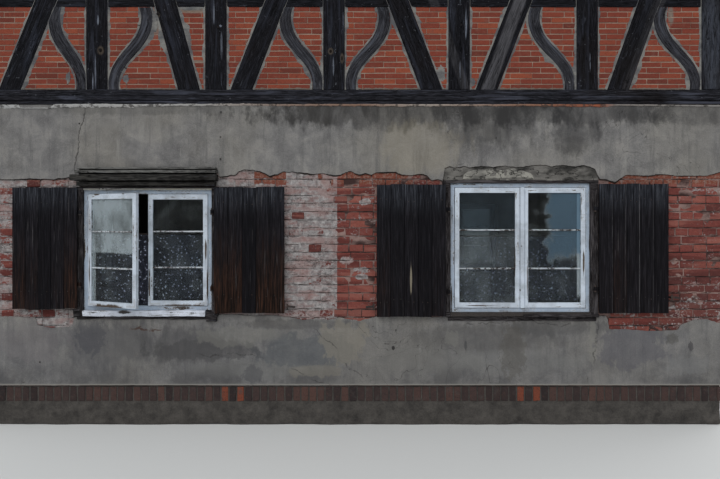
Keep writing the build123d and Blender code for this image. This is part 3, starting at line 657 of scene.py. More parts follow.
def shutter_boards():
    """Old planks, bluish grey at the top and reddish brown where rain splashes, with painted shade in the
    grooves between them and painted highlights along some board edges.
    """
    r = Recipe("shutter_boards", roughness=0.85, specular=0.05)
    tone = r.attribute("tone")
    grain = r.noise(8.0, 8.0, 0.72, r.stretched((9.0, 9.0, 0.4)), 0.25)
    fibre = r.noise(42.0, 6.0, 0.72, r.stretched((3.0, 3.0, 0.1)))
    low = r.steps(r.z, 2.0, 1.15)
    high = r.steps(r.z, 1.95, 2.25)
    colour = r.ramp(grain, (0.34, shade(12, 11, 13)), (0.5, shade(21, 20, 23)), (0.66, shade(38, 36, 40)))
    colour = r.mix(r.steps(tone, 0.5, 0.3, 0.0, 0.5), colour, shade(11, 11, 14))
    brown = r.times(low, r.steps(tone, 0.5, 0.9, 0.05, 0.9))
    colour = r.mix(
        brown, colour,
        r.ramp(fibre, (0.38, shade(12, 9, 8)), (0.5, shade(31, 22, 18)), (0.64, shade(66, 43, 33))),
    )
    blue = r.ramp(fibre, (0.38, shade(12, 13, 16)), (0.52, shade(40, 42, 48)), (0.64, shade(84, 87, 94)))
    colour = r.mix(r.times(high, 0.6), colour, blue)
    scratch = r.steps(r.noise(44.0, 4.0, 0.6, r.stretched((1.0, 1.0, 0.035))), 0.63, 0.69)
    colour = r.mix(r.times(scratch, 0.35), colour, shade(88, 85, 86))
    # Pale lines along the board edges of one shutter: painted highlights on the edges.
    for at, strength in ((610, 0.22), (622.8, 0.2), (636.6, 0.4), (650.3, 0.15)):
        edge = r.steps(
            r.math("ABSOLUTE", r.math("SUBTRACT", r.x, column(at))), 0.0012, 0.004, strength, 0.0,
        )
        edge = r.times(edge, r.steps(r.noise(4.0, 5.0, 0.65), 0.4, 0.56, 0.2, 1.0))
        colour = r.mix(edge, colour, shade(112, 110, 111))
    # Nearly black where the tone is 0, which marks the grooves between the boards: painted shade.
    colour = r.mix(r.steps(tone, 0.26, 0.12, 0.0, 0.85), colour, shade(5, 5, 6))
    chipped = r.times(around(r, (410.5, 279), (0.95, 14), 0.3), r.steps(r.y, -2.848, -2.856))
    colour = r.mix(r.times(chipped, 0.75), colour, shade(132, 124, 108))
    height = r.plus(r.times(grain, 0.6), r.times(fibre, 0.4))
    return r.finish(colour, r.bump(height, 0.8, 0.003))


def rusty_iron(name, dark, rust):
    r = Recipe(name, roughness=0.75, specular=0.4)
    blotch = r.noise(28.0, 6.0, 0.7)
    return r.finish(r.mix(r.steps(blotch, 0.4, 0.62), dark, rust), r.bump(blotch, 0.5, 0.0015))


def rough_stone(name, low, high):
    r = Recipe(name, roughness=0.95, specular=0.15)
    lumps = r.noise(9.0, 7.0, 0.68)
    grit = r.noise(80.0, 5.0, 0.7)
    colour = r.ramp(r.plus(r.times(lumps, 0.7), r.times(grit, 0.3)), (0.32, low), (0.68, high))
    return r.finish(colour, r.bump(grit, 0.6, 0.004, r.bump(lumps, 0.8, 0.02)))


def plain_wood(name, dark, light, stretch):
    r = Recipe(name, roughness=0.85, specular=0.2)
    grain = r.noise(9.0, 7.0, 0.7, r.stretched(stretch), 0.3)
    return r.finish(r.ramp(grain, (0.3, dark), (0.7, light)), r.bump(grain, 0.5, 0.003))


def roof_tiles():
    """Clay tiles, each with its own tone, with soot and moss in the joints."""
    r = Recipe("roof_tiles", roughness=0.9, specular=0.2)
    tone = r.attribute("tone")
    colour = r.ramp(tone, (0.0, shade(82, 48, 40)), (0.5, shade(120, 68, 50)), (1.0, shade(142, 88, 64)))
    grain = r.noise(90.0, 5.0, 0.7)
    soot = r.noise(2.4, 6.0, 0.65)
    colour = r.mix(r.steps(soot, 0.45, 0.7, 0.0, 0.6), colour, shade(52, 46, 42))
    colour = r.mix(r.steps(r.noise(11.0, 6.0, 0.7), 0.58, 0.72, 0.0, 0.6), colour, shade(74, 76, 54))
    return r.finish(colour, r.bump(grain, 0.5, 0.003))


def window_glass():
    """Thin old panes, clear at the front apart from some dust and a painted reflection of the sky in the
    right window, and dull with dirt at the back.
    """
    r = Recipe("window_glass", roughness=0.03, specular=0.14)
    r.shader.inputs["IOR"].default_value = 1.2
    ajar = r.times(r.steps(r.x, column(143), column(139)), r.steps(r.x, column(80), column(84)))
    edge = r.plus(r.times(r.math("SUBTRACT", r.x, column(90)), -0.03), row(251.5))
    upper = r.over(r.z, edge, 0.012)
    cloudy = r.noise(4.0, 4.0, 0.5, r.stretched((1.6, 1.0, 0.7)))
    film = r.times(r.times(ajar, upper), r.steps(cloudy, 0.36, 0.62, 0.13, 0.36))
    inner = r.times(
        r.between(r.x, column(92.5), column(97.0), 0.008), r.steps(r.z, row(200), row(215), 0.0, 0.16),
    )
    film = r.math("MAXIMUM", film, inner)
    strip = r.times(
        r.between(r.x, column(577.2), column(581.0), 0.005), r.steps(r.z, row(300), row(292), 0.0, 0.3),
    )
    film = r.math("MAXIMUM", film, strip)
    # leaves and sky: a painted reflection of the sky, edged by trees, in the upper panes of the right
    # window's right sash; top adds it to the top pane of its left sash.
    leaves = r.times(r.math("SUBTRACT", r.noise(9.0, 6.0, 0.65), 0.5), 0.35)
    sky = r.times(
        r.steps(r.plus(r.x, leaves), column(545), column(552)),
        r.steps(r.plus(r.z, leaves), row(264), row(252)),
    )
    front = on_street(r)
    sky = r.times(r.times(sky, front), r.steps(r.x, column(600), column(590)))
    # The painted sky reflection also dulls the glass.
    film = r.plus(film, r.times(sky, 0.24))
    pane = r.times(r.between(r.x, column(455), column(519)), front)
    top = r.times(pane, r.steps(r.z, row(236), row(226)))
    film = r.plus(film, r.times(pane, r.steps(r.z, row(272), row(262), 0.0, 0.026)))
    sky = r.math("MAXIMUM", sky, r.times(top, 0.75))
    hazy = r.times(r.between(r.x, column(455), column(592)), r.steps(r.z, row(262), row(272)))
    folds = r.steps(r.noise(9.0, 4.0, 0.6, r.stretched((1.0, 1.0, 0.12))), 0.36, 0.62, 0.1, 1.0)
    hazy = r.times(hazy, r.times(folds, r.steps(r.noise(40.0, 3.0, 0.6), 0.4, 0.6, 0.5, 1.0)))
    film = r.plus(film, r.times(hazy, r.steps(r.x, column(520), column(530), 0.045, 0.01)))
    film = r.plus(film, r.steps(r.noise(7.0, 5.0, 0.6), 0.45, 0.7, 0.0, 0.03))
    film = r.plus(r.times(film, front), r.math("SUBTRACT", 0.62, r.times(front, 0.62)))
    r.put(r.shader.inputs["Transmission Weight"], r.math("SUBTRACT", 1.0, film))
    dust = r.mix(front, shade(62, 66, 68), shade(150, 164, 176))
    # Base colour: the dust, with the painted sky reflection in bluish grey.
    return r.finish(r.mix(sky, r.mix(film, shade(214, 224, 226), dust), shade(116, 142, 160)))


def lace():
    """Bluish white net with a pattern of small meshes and closer flowers."""
    r = Recipe("net", roughness=0.9, specular=0.05)
    uv = r.node("ShaderNodeUVMap", uv_map="cloth").outputs["UV"]
    mesh = r.steps(r.cells(150.0, uv, "DISTANCE_TO_EDGE"), 0.05, 0.16, 1.0, 0.0)
    flower = r.steps(r.cells(34.0, uv), 0.2, 0.3, 1.0, 0.0)
    solid = r.math("MAXIMUM", r.times(mesh, 0.5), r.times(flower, 0.9))
    r.put(r.shader.inputs["Alpha"], r.plus(r.times(solid, 0.7), 0.12))
    soft = r.steps(r.x, column(250), column(440), 1.0, 0.55)
    return r.finish(r.mix(r.times(flower, soft), shade(94, 96, 114), shade(206, 208, 222)))


TIMBER = old_timber(
    "old_timber", shade(8, 8, 10), shade(18, 18, 21), shade(40, 40, 45), shade(42, 44, 52),
    marks=(
        ((95.5, 72), (0.8, 16), 0.5), ((93, 82), (0.7, 9), 0.75), ((98, 20), (0.8, 4), 0.75),
        ((466, 24), (1.0, 14), 0.75), ((221.5, 45), (0.8, 11), 0.45), ((220.5, 26), (1.3, 1.3), 0.95),
        ((333.4, 67), (0.8, 9), 0.7), ((335.5, 51), (0.9, 1.5), 0.9), ((590, 62), (0.6, 9), 0.5),
        ((460, 70), (0.7, 8), 0.5), ((214, 14), (0.7, 12), 0.75), ((711, 50), (9, 60), 0.16),
    ),
    faded=((520, -0.364, 7.5, 0.34), (433, 0.37, 6, 0.12), (660, -0.364, 7, 0.1)),
    knots=(
        ((100.7, 50.5), (3.2, 4.2)), ((330.6, 51.4), (2.6, 3.4)), ((342, 58.4), (1.8, 5)),
        ((157.3, 14.9), (2.6, 3)),
    ),
)
CURVED_TIMBER = old_timber(
    "curved_timber", shade(15, 15, 17), shade(39, 39, 43), shade(74, 74, 79), shade(74, 76, 84),
)
BEAM_TIMBER = old_timber(
    "beam_timber", shade(10, 10, 12), shade(27, 27, 31), shade(56, 56, 62), shade(66, 68, 78), 0.7,
)
CASING_WOOD = old_timber(
    "casing_wood", shade(11, 10, 11), shade(36, 33, 34), shade(86, 82, 83), shade(88, 84, 86), 0.6,
)
HOOD_WOOD = old_timber(
    "hood_wood", shade(12, 12, 12), shade(38, 37, 36), shade(78, 76, 73), shade(70, 68, 64), 0.4,
)
HOOD_TOP = old_timber(
    "hood_top", shade(34, 34, 34), shade(84, 83, 81), shade(128, 127, 124), shade(110, 109, 106), 0.7,
)
PLASTER = plaster()
BEAM_MORTAR = beam_mortar()
INFILL_MORTAR = mortar("infill_mortar", shade(124, 104, 92), shade(146, 128, 114))
FILLET_MORTAR = mortar("fillet_mortar", shade(86, 86, 88), shade(124, 122, 118))
WALL_MORTAR = mortar("wall_mortar", shade(58, 42, 40), shade(134, 110, 104), lime=True)
LINTEL_MORTAR = mortar("lintel_mortar", shade(52, 51, 49), shade(110, 107, 103), cracked=True)
LINTEL_LIGHT = mortar("lintel_light", shade(98, 96, 92), shade(150, 147, 139), cracked=True)
HOLE = rusty_iron("plug_hole", shade(20, 18, 18), shade(34, 26, 22))
# A dark material for the gap under the plaster's lifted edge: painted shade.
PAINTED_SHADOW = mortar("painted_shadow_gap", shade(24, 21, 20), shade(48, 42, 39))
INFILL_BRICK = brick(
    "infill_brick", shade(92, 47, 39), shade(118, 57, 45), shade(137, 71, 51), shade(106, 71, 62),
    smeared=True,
)
WALL_BRICK = brick(
    "wall_brick", shade(82, 46, 43), shade(114, 60, 54), shade(134, 78, 68), shade(104, 80, 76), lime=True,
)
PLINTH_BRICK = brick(
    "plinth_brick", shade(44, 38, 38), shade(64, 52, 50), shade(84, 62, 56), shade(70, 66, 64),
    burnt=((222, 248), (512, 548)),
)
CHIMNEY_BRICK = brick(
    "chimney_brick", shade(80, 46, 38), shade(112, 62, 48), shade(134, 80, 60), shade(70, 62, 56),
)
PAINT = peeling_paint(
    "window_paint", shade(188, 197, 208), shade(98, 84, 72), 0.05, grained=True,
    chips=(
        ((99, 194.6), (3.4, 1.0)), ((130.5, 194.3), (1.4, 0.8)), ((133, 230), (1.8, 1.2)),
        ((147.5, 246), (0.7, 0.7)), ((149.5, 285), (1.0, 16)), ((206, 250), (0.8, 10)),
        ((207.5, 286), (0.9, 14)), ((521, 246), (0.6, 0.7)), ((520, 290), (0.5, 1.4)),
        ((514.6, 262), (0.6, 24)), ((583.5, 262), (0.8, 12)), ((527, 280), (0.5, 16)),
        ((90, 270), (0.6, 14)), ((112, 305.6), (18, 2.6)), ((181, 307.2), (30, 3.0)),
        ((480, 305.5), (14, 0.5)),
    ),
)
BAR_PAINT = peeling_paint("bar_paint", shade(186, 192, 198), shade(70, 60, 54), 0.11)
FRAME_PAINT = peeling_paint(
    "frame_paint", shade(150, 163, 179), shade(80, 70, 62), 0.07, grained=True,
    chips=(
        ((451.5, 300), (0.8, 14)), ((452, 215), (0.5, 8)), ((84.5, 250), (0.7, 12)),
        ((590, 250), (0.8, 16)),
    ),
)
HEAD_PAINT = peeling_paint("head_paint", shade(134, 130, 118), shade(80, 70, 62), 0.05, grained=True)
SILL_PAINT = peeling_paint(
    "sill_paint", shade(202, 206, 218), shade(70, 64, 62), 0.07, grained=True, rot=400,
    chips=(((127, 311.5), (6, 1.4)),),
)
PUTTY = peeling_paint("putty", shade(176, 184, 192), shade(60, 54, 50), 0.1)
SHUTTER = shutter_boards()
IRON = rusty_iron("iron", shade(22, 22, 23), shade(52, 38, 32))
WHITE_IRON = peeling_paint("white_iron", shade(176, 180, 186), shade(84, 62, 50), 0.02)
FOUNDATION = rough_stone("foundation", shade(42, 40, 39), shade(84, 80, 76))
INNER_TIMBER = plain_wood("inner_timber", shade(58, 46, 36), shade(100, 82, 64), (0.4, 8.0, 8.0))
DOOR_BOARDS = plain_wood("door_boards", shade(34, 32, 33), shade(66, 62, 62), (8.0, 8.0, 0.4))
ROOF_TILES = roof_tiles()
GLASS = window_glass()
LACE = lace()


# Bricks and mortar


# A brick of the infill, the joint between its courses and how far it stands out of the mortar
INFILL_SIZE = (0.2, 0.0455, 0.04)
INFILL_JOINT = 0.0075
INFILL_PROUD = 0.003


def lay(bm, place, across, up, size, joint, proud, seed, skip=None, wander=0.0015, gap=None, stretch=1):
    """Courses of bricks between two limits, standing proud of the mortar.

    They are made on the plane y = 0 facing -Y, and place moves them to their wall. In every second
    course the bricks are longer by the factor stretch.
    """
    chance = random.Random(seed)
    tone = bm.verts.layers.float.get("tone") or bm.verts.layers.float.new("tone")
    length, height, depth = size
    for course in range(int((up[1] - up[0]) / (height + joint)) + 1):
        low = up[0] + course * (height + joint)
        high = min(low + height, up[1])
        if high - low < 0.012:
            continue
        start = across[0] - chance.uniform(0, 0.02) - (course % 2) * length / 2
        while start < across[1]:
            end = start + length * chance.uniform(0.95, 1.04) * (stretch if course % 2 else 1)
            left = max(start, across[0])
            right = min(end, across[1])
            start = end + (gap or joint)
            if right - left < 0.02 or (skip and skip(left, right, low, high)):
                continue
            out = proud + chance.uniform(-wander, wander)
            verts = add_box(bm, (left, -out, low), (right, depth - out, high), place)
            own = min(1.0, max(0.0, chance.gauss(0.5, 0.22)))
            for vert in verts:
                vert[tone] = own
                vert.co += Vector(chance.uniform(-wander, wander) for _ in range(3))


def bays(widths):
    """The limits of each bay, between the middles of its posts."""
    edge = -sum(widths) / 2
    for width in widths:
        yield edge, edge + width
        edge += width


def infill_bricks(name, sides, distance, widths, seed):
    bm = bmesh.new()
    for side in sides:
        place = facing(side) @ Matrix.Translation((0, -distance + INFILL_RECESS, 0))
        for i, (low, high) in enumerate(bays(widths)):
            across = (low + POST / 2 - 0.01, high - POST / 2 + 0.01)
            up = (sill_top + 0.004, plate_bottom)
            number = seed + 10 * side + i
            lay(bm, place, across, up, INFILL_SIZE, INFILL_JOINT, INFILL_PROUD, number, gap=0.004)
    round_edges(bm, 0.0025)
    return finish_piece(name, bm, INFILL_BRICK)


def gable_bricks():
    """The bricks of the gables' triangles, cut off along the middle of the sloping members."""
    bm = bmesh.new()
    for side in (LEFT, RIGHT):
        place = facing(side) @ Matrix.Translation((0, -half_width + INFILL_RECESS, 0))
        width = half_depth - 0.1

        def beyond(left, right, low, high):
            nearest = 0 if left < 0 < right else min(abs(left), abs(right))
            return low > truss_top - 0.1 - nearest * math.tan(PITCH)

        up = (plate_top + 0.004, truss_top - 0.2)
        lay(bm, place, (-width, width), up, INFILL_SIZE, INFILL_JOINT, INFILL_PROUD, 500 + side, beyond)
    for slope in (-1, 1):
        normal = Vector((0, slope * math.sin(PITCH), math.cos(PITCH)))
        cut_at(bm, Vector((0, 0, truss_top)) - normal * 0.07, normal, keep_below=True)
    round_edges(bm, 0.0025)
    return finish_piece("gable_bricks", bm, INFILL_BRICK)


WINDOW_HOLES = [
    (low.x - 0.004, high.x + 0.004, low.z - 0.004, high.z + 0.004)
    for low, high in solid_boxes("window_casings")
]
LINTEL = (column(443.5), column(598.5), row(182.8), row(164.5))


def in_a_window(left, right, low, high):
    return any(
        right > hole[0] and left < hole[1] and high > hole[2] and low < hole[3]
        for hole in (*WINDOW_HOLES, LINTEL)
    )


def wall_bricks():
    """The bare bricks of the ground storey, between the two bands of plaster."""
    bm = bmesh.new()
    place = Matrix.Translation((0, -brick_depth, 0))
    across = (-half_width, half_width)
    size = (0.124, 0.0665, 0.05)
    lay(
        bm, place, across, (COURSE_FOOT - size[1], 2.46), size, COURSE - size[1], 0.006, 41, in_a_window,
        0.0035, 0.008, 1.9,
    )
    round_edges(bm, 0.006, 2)
    for vert in bm.verts:
        place = vert.co
        worn = max(0.0, rough(place, 7.0, 3.0) - 0.2) * 0.008
        vert.co.y += worn + 0.0018 * rough(place, 45.0)
    return finish_piece("wall_bricks", bm, WALL_BRICK)


def skin(name, across, up, spacing, surface, material, holes=()):
    """A sheet over the front between two limits. surface gives its Y at a place."""
    bm = bmesh.new()
    columns = max(2, round((across[1] - across[0]) / spacing))
    rows = max(2, round((up[1] - up[0]) / spacing))
    bmesh.ops.create_grid(bm, x_segments=columns, y_segments=rows, size=0.5)
    for vert in bm.verts:
        x = across[0] + (vert.co.x + 0.5) * (across[1] - across[0])
        z = up[0] + (vert.co.y + 0.5) * (up[1] - up[0])
        vert.co = (x, surface(x, z), z)
    inside = []
    for face in bm.faces:
        middle = face.calc_center_median()
        if any(hole[0] < middle.x < hole[1] and hole[2] < middle.z < hole[3] for hole in holes):
            inside.append(face)
    bmesh.ops.delete(bm, geom=inside, context="FACES")
    return finish_piece(name, bm, material, smooth=True)


def smeared(x, z):
    """The mortar of the bare bricks: mostly a little behind them, and in places wiped over them."""
    wiped = rough((x, 0, z), 5.0, 8.0) + 0.6 * rough((x, 0, z), 17.0, 2.0)
    lime = 0.1 if column(212) < x < column(337) else 0.0
    uneven = 0.0035 * rough((x, 0, z), 12.0, 6.0)
    return -brick_depth - 0.001 - uneven - 0.009 * min(1.0, max(0.0, wiped + lime - 0.5) * 2.2)


for name, sides, distance, widths, seed in (
    ("front_infill_bricks", (FRONT,), half_depth, FRONT_BAYS, 100),
    ("back_infill_bricks", (BACK,), half_depth, FRONT_BAYS, 200),
    ("gable_infill_bricks", (LEFT, RIGHT), half_width, GABLE_BAYS, 300),
):
    infill_bricks(name, sides, distance, widths, seed)
gable_bricks()
wall_bricks()
skin(
    "wall_mortar", (-half_width, half_width), (0.86, 2.47), 0.018, smeared, WALL_MORTAR,
    WINDOW_HOLES,
)


def on_the_outside(face):
    """Whether a face is the outer face of a timber that lies flush with the frame."""
    middle = face.calc_center_median()
    on_long_side = abs(abs(middle.y) - half_depth) < 0.003 and abs(face.normal.y) > 0.9
    on_gable = abs(abs(middle.x) - half_width) < 0.003 and abs(face.normal.x) > 0.9
    return on_long_side or on_gable


def mortar_fillets(node, seed):
    """The ragged mortar that closes the gap between a timber and the bricks beside it."""
    bm = clean_copy(node)
    inner = [face for face in bm.faces if not on_the_outside(face)]
    bmesh.ops.delete(bm, geom=inner, context="FACES")
    cut_across(bm, 2, 0.016)
    edges = []
    outward = {}
    for edge in bm.edges:
        along = (edge.verts[1].co - edge.verts[0].co).normalized()
        if not edge.is_boundary or abs(along.z) < 0.25:
            continue
        face = edge.link_faces[0]
        away = along.cross(face.normal)
        middle = (edge.verts[0].co + edge.verts[1].co) / 2
        if away.dot(middle - face.calc_center_median()) < 0:
            away = -away
        edges.append(edge)
        for vert in edge.verts:
            total = outward.setdefault(vert, [Vector(), Vector(face.normal)])
            total[0] += away
    start = bm.faces[:]
    width = {}
    for vert in outward:
        lumpy = 0.5 + 0.5 * rough(vert.co, 15.0, seed)
        patchy = max(0.0, rough(vert.co, 2.6, seed + 5) - 0.12)
        width[vert] = 0.009 + 0.024 * lumpy + 0.13 * patchy * lumpy
    ring = edges
    for share, depth in ((0.6, 0.0065), (1.0, 0.0106)):
        made = bmesh.ops.extrude_edge_only(bm, edges=ring)["geom"]
        ring = [item for item in made if isinstance(item, bmesh.types.BMEdge)]
        fresh = {item for item in made if isinstance(item, bmesh.types.BMVert)}
        known = set(outward)
        for vert in fresh:
            old = next(edge.other_vert(vert) for edge in vert.link_edges if edge.other_vert(vert) in known)
            away, normal = outward[old]
            outward[vert] = (away, normal)
            width[vert] = width[old]
            base = old.co if share < 1 else old.co - away.normalized() * width[old] * 0.6 + normal * 0.0065
            vert.co = base + away.normalized() * width[old] * share - normal * depth
        ring = [edge for edge in ring if edge.verts[0] in fresh and edge.verts[1] in fresh]
    bmesh.ops.delete(bm, geom=start, context="FACES")
    return finish_piece("fillets_of_" + node, bm, FILLET_MORTAR, smooth=True)


def lump(name, spots, distance, material, thickness=0.008):
    """Flat ragged lumps at places of the front, given in pixels with their half widths and heights."""
    bm = bmesh.new()
    for i, (px, py, half_x, half_z) in enumerate(spots):
        made = bmesh.ops.create_icosphere(bm, subdivisions=4, radius=1.0)["verts"]
        for vert in made:
            ragged = 1.0 + 0.35 * rough(vert.co, 1.6, i) + 0.16 * rough(vert.co, 5.0, i)
            x = column(px) + vert.co.x * half_x * PIXEL * ragged
            z = row(py) + vert.co.z * half_z * PIXEL * ragged
            out = vert.co.y * thickness * (1.0 + 0.5 * rough((x, 0, z), 60.0))
            vert.co = (x, -distance + out, z)
    return finish_piece(name, bm, material, smooth=True)


for seed, node in enumerate(("posts", "straight_braces", "curved_braces")):
    mortar_fillets(node, 11.0 * seed)
lump(
    "infill_patches",
    (
        (154, 22, 4.5, 9), (191, 7.5, 15, 2.6), (28, 67, 3, 7), (441, 74, 4.5, 10), (472, 82, 3.5, 5),
        (68, 78, 3, 6), (303, 45, 3, 5), (538, 12, 3, 6), (664, 12, 3, 7), (62, 8, 3, 5),
        (569, 84, 3, 4), (126, 79, 3.5, 5),
    ),
    half_depth - INFILL_RECESS, FILLET_MORTAR,
)


# Timbers


def long_direction(verts):
    """The direction of a timber's longest edge."""
    seen = set(verts)
    best = Vector((0, 0, 1))
    length = 0
    for vert in verts:
        for edge in vert.link_edges:
            span = edge.verts[1].co - edge.verts[0].co
            if span.length > length and edge.other_vert(vert) in seen:
                length = span.length
                best = span.normalized()
    return best


def grain_map(bm, along):
    """A UV map whose first direction follows each timber, in metres."""
    grain = bm.loops.layers.uv.new("grain")
    for face in bm.faces:
        first = face.verts[0]
        direction = Vector(first[layer] for layer in along[:3])
        if direction.length < 0.5:
            direction = Vector((0, 0, 1))
        offset = first[along[3]]
        lateral = face.normal.cross(direction)
        for loop in face.loops:
            place = loop.vert.co
            loop[grain].uv = (place.dot(direction) + offset, place.dot(lateral) + offset)


def curved_grain(bm):
    """A grain map that bends with each curved brace."""
    grain = bm.loops.layers.uv.new("grain")
    for number, found in enumerate(list(islands(bm))):
        low, high = limits([vert.co for vert in found])
        wide = 0 if high.x - low.x > high.y - low.y else 1
        levels = {}
        for vert in found:
            levels.setdefault(round(vert.co.z, 3), []).append(vert.co[wide])
        line = sorted(
            (height, (min(values) + max(values)) / 2) for height, values in levels.items()
            if max(values) - min(values) > 0.05
        )
        for vert in found:
            away = vert.co[wide] - through(line, vert.co.z) + 0.7 * vert.co[1 - wide]
            for loop in vert.link_loops:
                loop[grain].uv = (vert.co.z + number, away)


def weathered(
    node, axes, seed, material=None, body=HOUSE, arris=0.007, wander=0.0045, step=0.09,
    checks=(), change=None, ring=False, joints=(), tone_of=None,
):
    """A copy of a node's solids with worn edges, a wandering face and grain along each of them.

    checks are long horizontal cracks in the front and back faces: height, half width and depth.
    A ring has upright members at its sides and level ones at its top and bottom. Joints are the
    places of grooves between upright boards, and tone_of gives the tone at a point.
    """
    chance = random.Random(seed)
    bm = clean_copy(node)
    names = ("along_x", "along_y", "along_z", "grain_offset", "tone")
    for name in names:
        bm.verts.layers.float.new(name)
    bm.verts.ensure_lookup_table()
    *along, tone = [bm.verts.layers.float[name] for name in names]
    for found in list(islands(bm)):
        direction = long_direction(found)
        offset = chance.uniform(0, 9)
        for vert in found:
            for layer, value in zip(along, (*direction, offset)):
                vert[layer] = value
    sharp = [edge for edge in bm.edges if edge.is_manifold and edge.calc_face_angle() > 0.6]
    bmesh.ops.bevel(
        bm, geom=sharp, offset=arris, segments=2, affect="EDGES", profile=0.5, material=-1,
        clamp_overlap=True,
    )
    for axis in axes:
        cut_across(bm, axis, step)
    for x in joints:
        for place in (x - 0.004, x, x + 0.004):
            cut_at(bm, Vector((place, 0, 0)), Vector((1, 0, 0)))
    for height, half, depth in checks:
        for z in (height - half, height, height + half):
            cut_at(bm, Vector((0, 0, z)), Vector((0, 0, 1)))
    if ring:
        for found in list(islands(bm)):
            low, high = limits([vert.co for vert in found])
            for vert in found:
                beside = min(vert.co.x - low.x, high.x - vert.co.x)
                above = min(vert.co.z - low.z, high.z - vert.co.z)
                for layer, value in zip(along, (0, 0, 1) if beside < above else (1, 0, 0)):
                    vert[layer] = value
    if node == "curved_braces":
        curved_grain(bm)
    else:
        grain_map(bm, along)
    for vert in bm.verts:
        here = vert.co.copy()
        if tone_of:
            vert[tone] = tone_of(here)
        slow = noise.noise_vector(here * 2.3 + Vector((seed, 0, 0)))
        quick = noise.noise_vector(here * 14.0 + Vector((0, seed, 0)))
        vert.co += (slow * 0.7 + quick * 0.3) * wander
        for height, half, depth in checks:
            if abs(here.z - height) < half / 2 and abs(here.y) > half_depth - 0.02:
                deep = depth * (0.7 + 0.6 * rough(here, 3.0, seed))
                vert.co.y -= math.copysign(deep, here.y)
                vert.co.z += 0.006 * rough(here, 2.0, seed)
        if change:
            change(vert, here)
    many_sided = [face for face in bm.faces if len(face.verts) > 4]
    bmesh.ops.triangulate(bm, faces=many_sided)
    piece = finish_piece("weathered_" + node, bm, material or TIMBER, body)
    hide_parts(node)
    return piece


beam_checks = ((row(95.8), 0.004, 0.008), (row(100.8), 0.009, 0.02))
weathered("posts", (2,), 1)
weathered("straight_braces", (2,), 2)
weathered("curved_braces", (2,), 3, CURVED_TIMBER, wander=0.01, step=0.05)
weathered("rails", (0, 1), 4)
weathered("long_sill_beams", (0,), 5, BEAM_TIMBER, step=0.06, checks=beam_checks)
weathered("gable_sill_beams", (1,), 6, BEAM_TIMBER)
weathered("eaves_plates", (0,), 7, BEAM_TIMBER)
weathered("tie_beams", (0, 1), 8)
weathered("gable_trusses", (2,), 9)
weathered("barge_boards", (2,), 10, arris=0.003, wander=0.003)
weathered("window_casings", (0, 2), 11, CASING_WOOD, arris=0.004, wander=0.003, step=0.05, ring=True)


def pegs():
    """The oak pegs and old holes of the joints that show."""
    bm = bmesh.new()
    for px, py, radius in (
        (100, 50, 0.013), (158, 14, 0.015), (218, 27, 0.017), (336, 51, 0.012), (461, 25, 0.012),
    ):
        place = Matrix.Translation((column(px), -half_depth - 0.002, row(py)))
        turn = Matrix.Rotation(math.radians(90), 4, "X")
        made = bmesh.ops.create_cone(
            bm, segments=14, radius1=radius, radius2=radius * 0.8, depth=0.014, cap_ends=True,
            matrix=place @ turn,
        )
        caps = {face for vert in made["verts"] for face in vert.link_faces if len(face.verts) > 4}
        bmesh.ops.inset_region(bm, faces=list(caps), thickness=0.004, depth=-0.003)
    return finish_piece("frame_pegs", bm, CASING_WOOD)


pegs()


# Plaster


# The ragged edges of the plaster, as pixels of the photograph from left to right
UPPER_EDGE = (
    (-30, 179), (12, 179.5), (30, 178.6), (52, 179.4), (68, 177.6), (74, 176.5), (79.5, 175), (81, 170),
    (218, 170), (219, 177), (229, 175.6), (236, 174.9), (238, 171.6), (244, 169.6), (253, 170),
    (263, 172.4), (270, 175.8), (278, 174.1), (283, 171.6), (300, 172.4), (313, 174.1), (323, 173.3),
    (333, 175.3), (341, 174.9), (346, 171.9), (351, 171.3), (359, 174.6), (366, 173.3), (372, 174.9),
    (376, 172.4), (396, 171.9), (402, 174.9), (412, 175.3), (422, 173.6), (427, 175.8), (432, 180.7),
    (437, 179), (443, 181), (444.5, 168.5), (449, 166.4), (455, 168), (463, 166.2), (470, 167.6),
    (480, 166), (492, 167), (505, 165.8), (516, 167.4), (528, 166), (541, 164.8), (552, 166.4),
    (563, 165), (575, 166.6), (584, 165), (590, 167.2), (595, 168.4), (598, 176), (600, 179),
    (607, 179.5), (615, 182.3), (619, 179.5), (626, 174.9), (648, 175.8), (661, 174), (669, 174.9),
    (678, 175.8), (707, 175.8), (720, 172), (740, 174),
)
LOWER_EDGE = (
    (-30, 316), (11, 316.6), (23, 317.4), (36, 318), (37, 325), (50, 328), (72, 326.5), (74, 318),
    (78, 315.5), (212, 315.5), (222, 314.2), (238, 314.2), (248, 315.9), (270, 315), (285, 316.7),
    (303, 320), (316, 318.4), (329, 320), (339, 317.5), (359, 320.9), (376, 316.7), (382, 315.9),
    (440, 317), (446, 316.5), (597, 316.5), (600, 316), (606, 315.5), (608, 320), (602, 325.6),
    (606, 329.3), (626, 329.3), (648, 331.2), (678, 330.3), (681, 324.7), (694, 320), (707, 319.2),
    (718, 322.9), (740, 321),
)


def ragged(points, x, strength=1.0, seed=0.0):
    """The height of a broken edge at X."""
    px = x / PIXEL + CENTRE_COLUMN
    wander = 0.006 * rough((x, 0, 0), 22.0, seed) + 0.004 * rough((x, 0, 0), 70.0, seed)
    return row(through(points, px)) + wander * strength


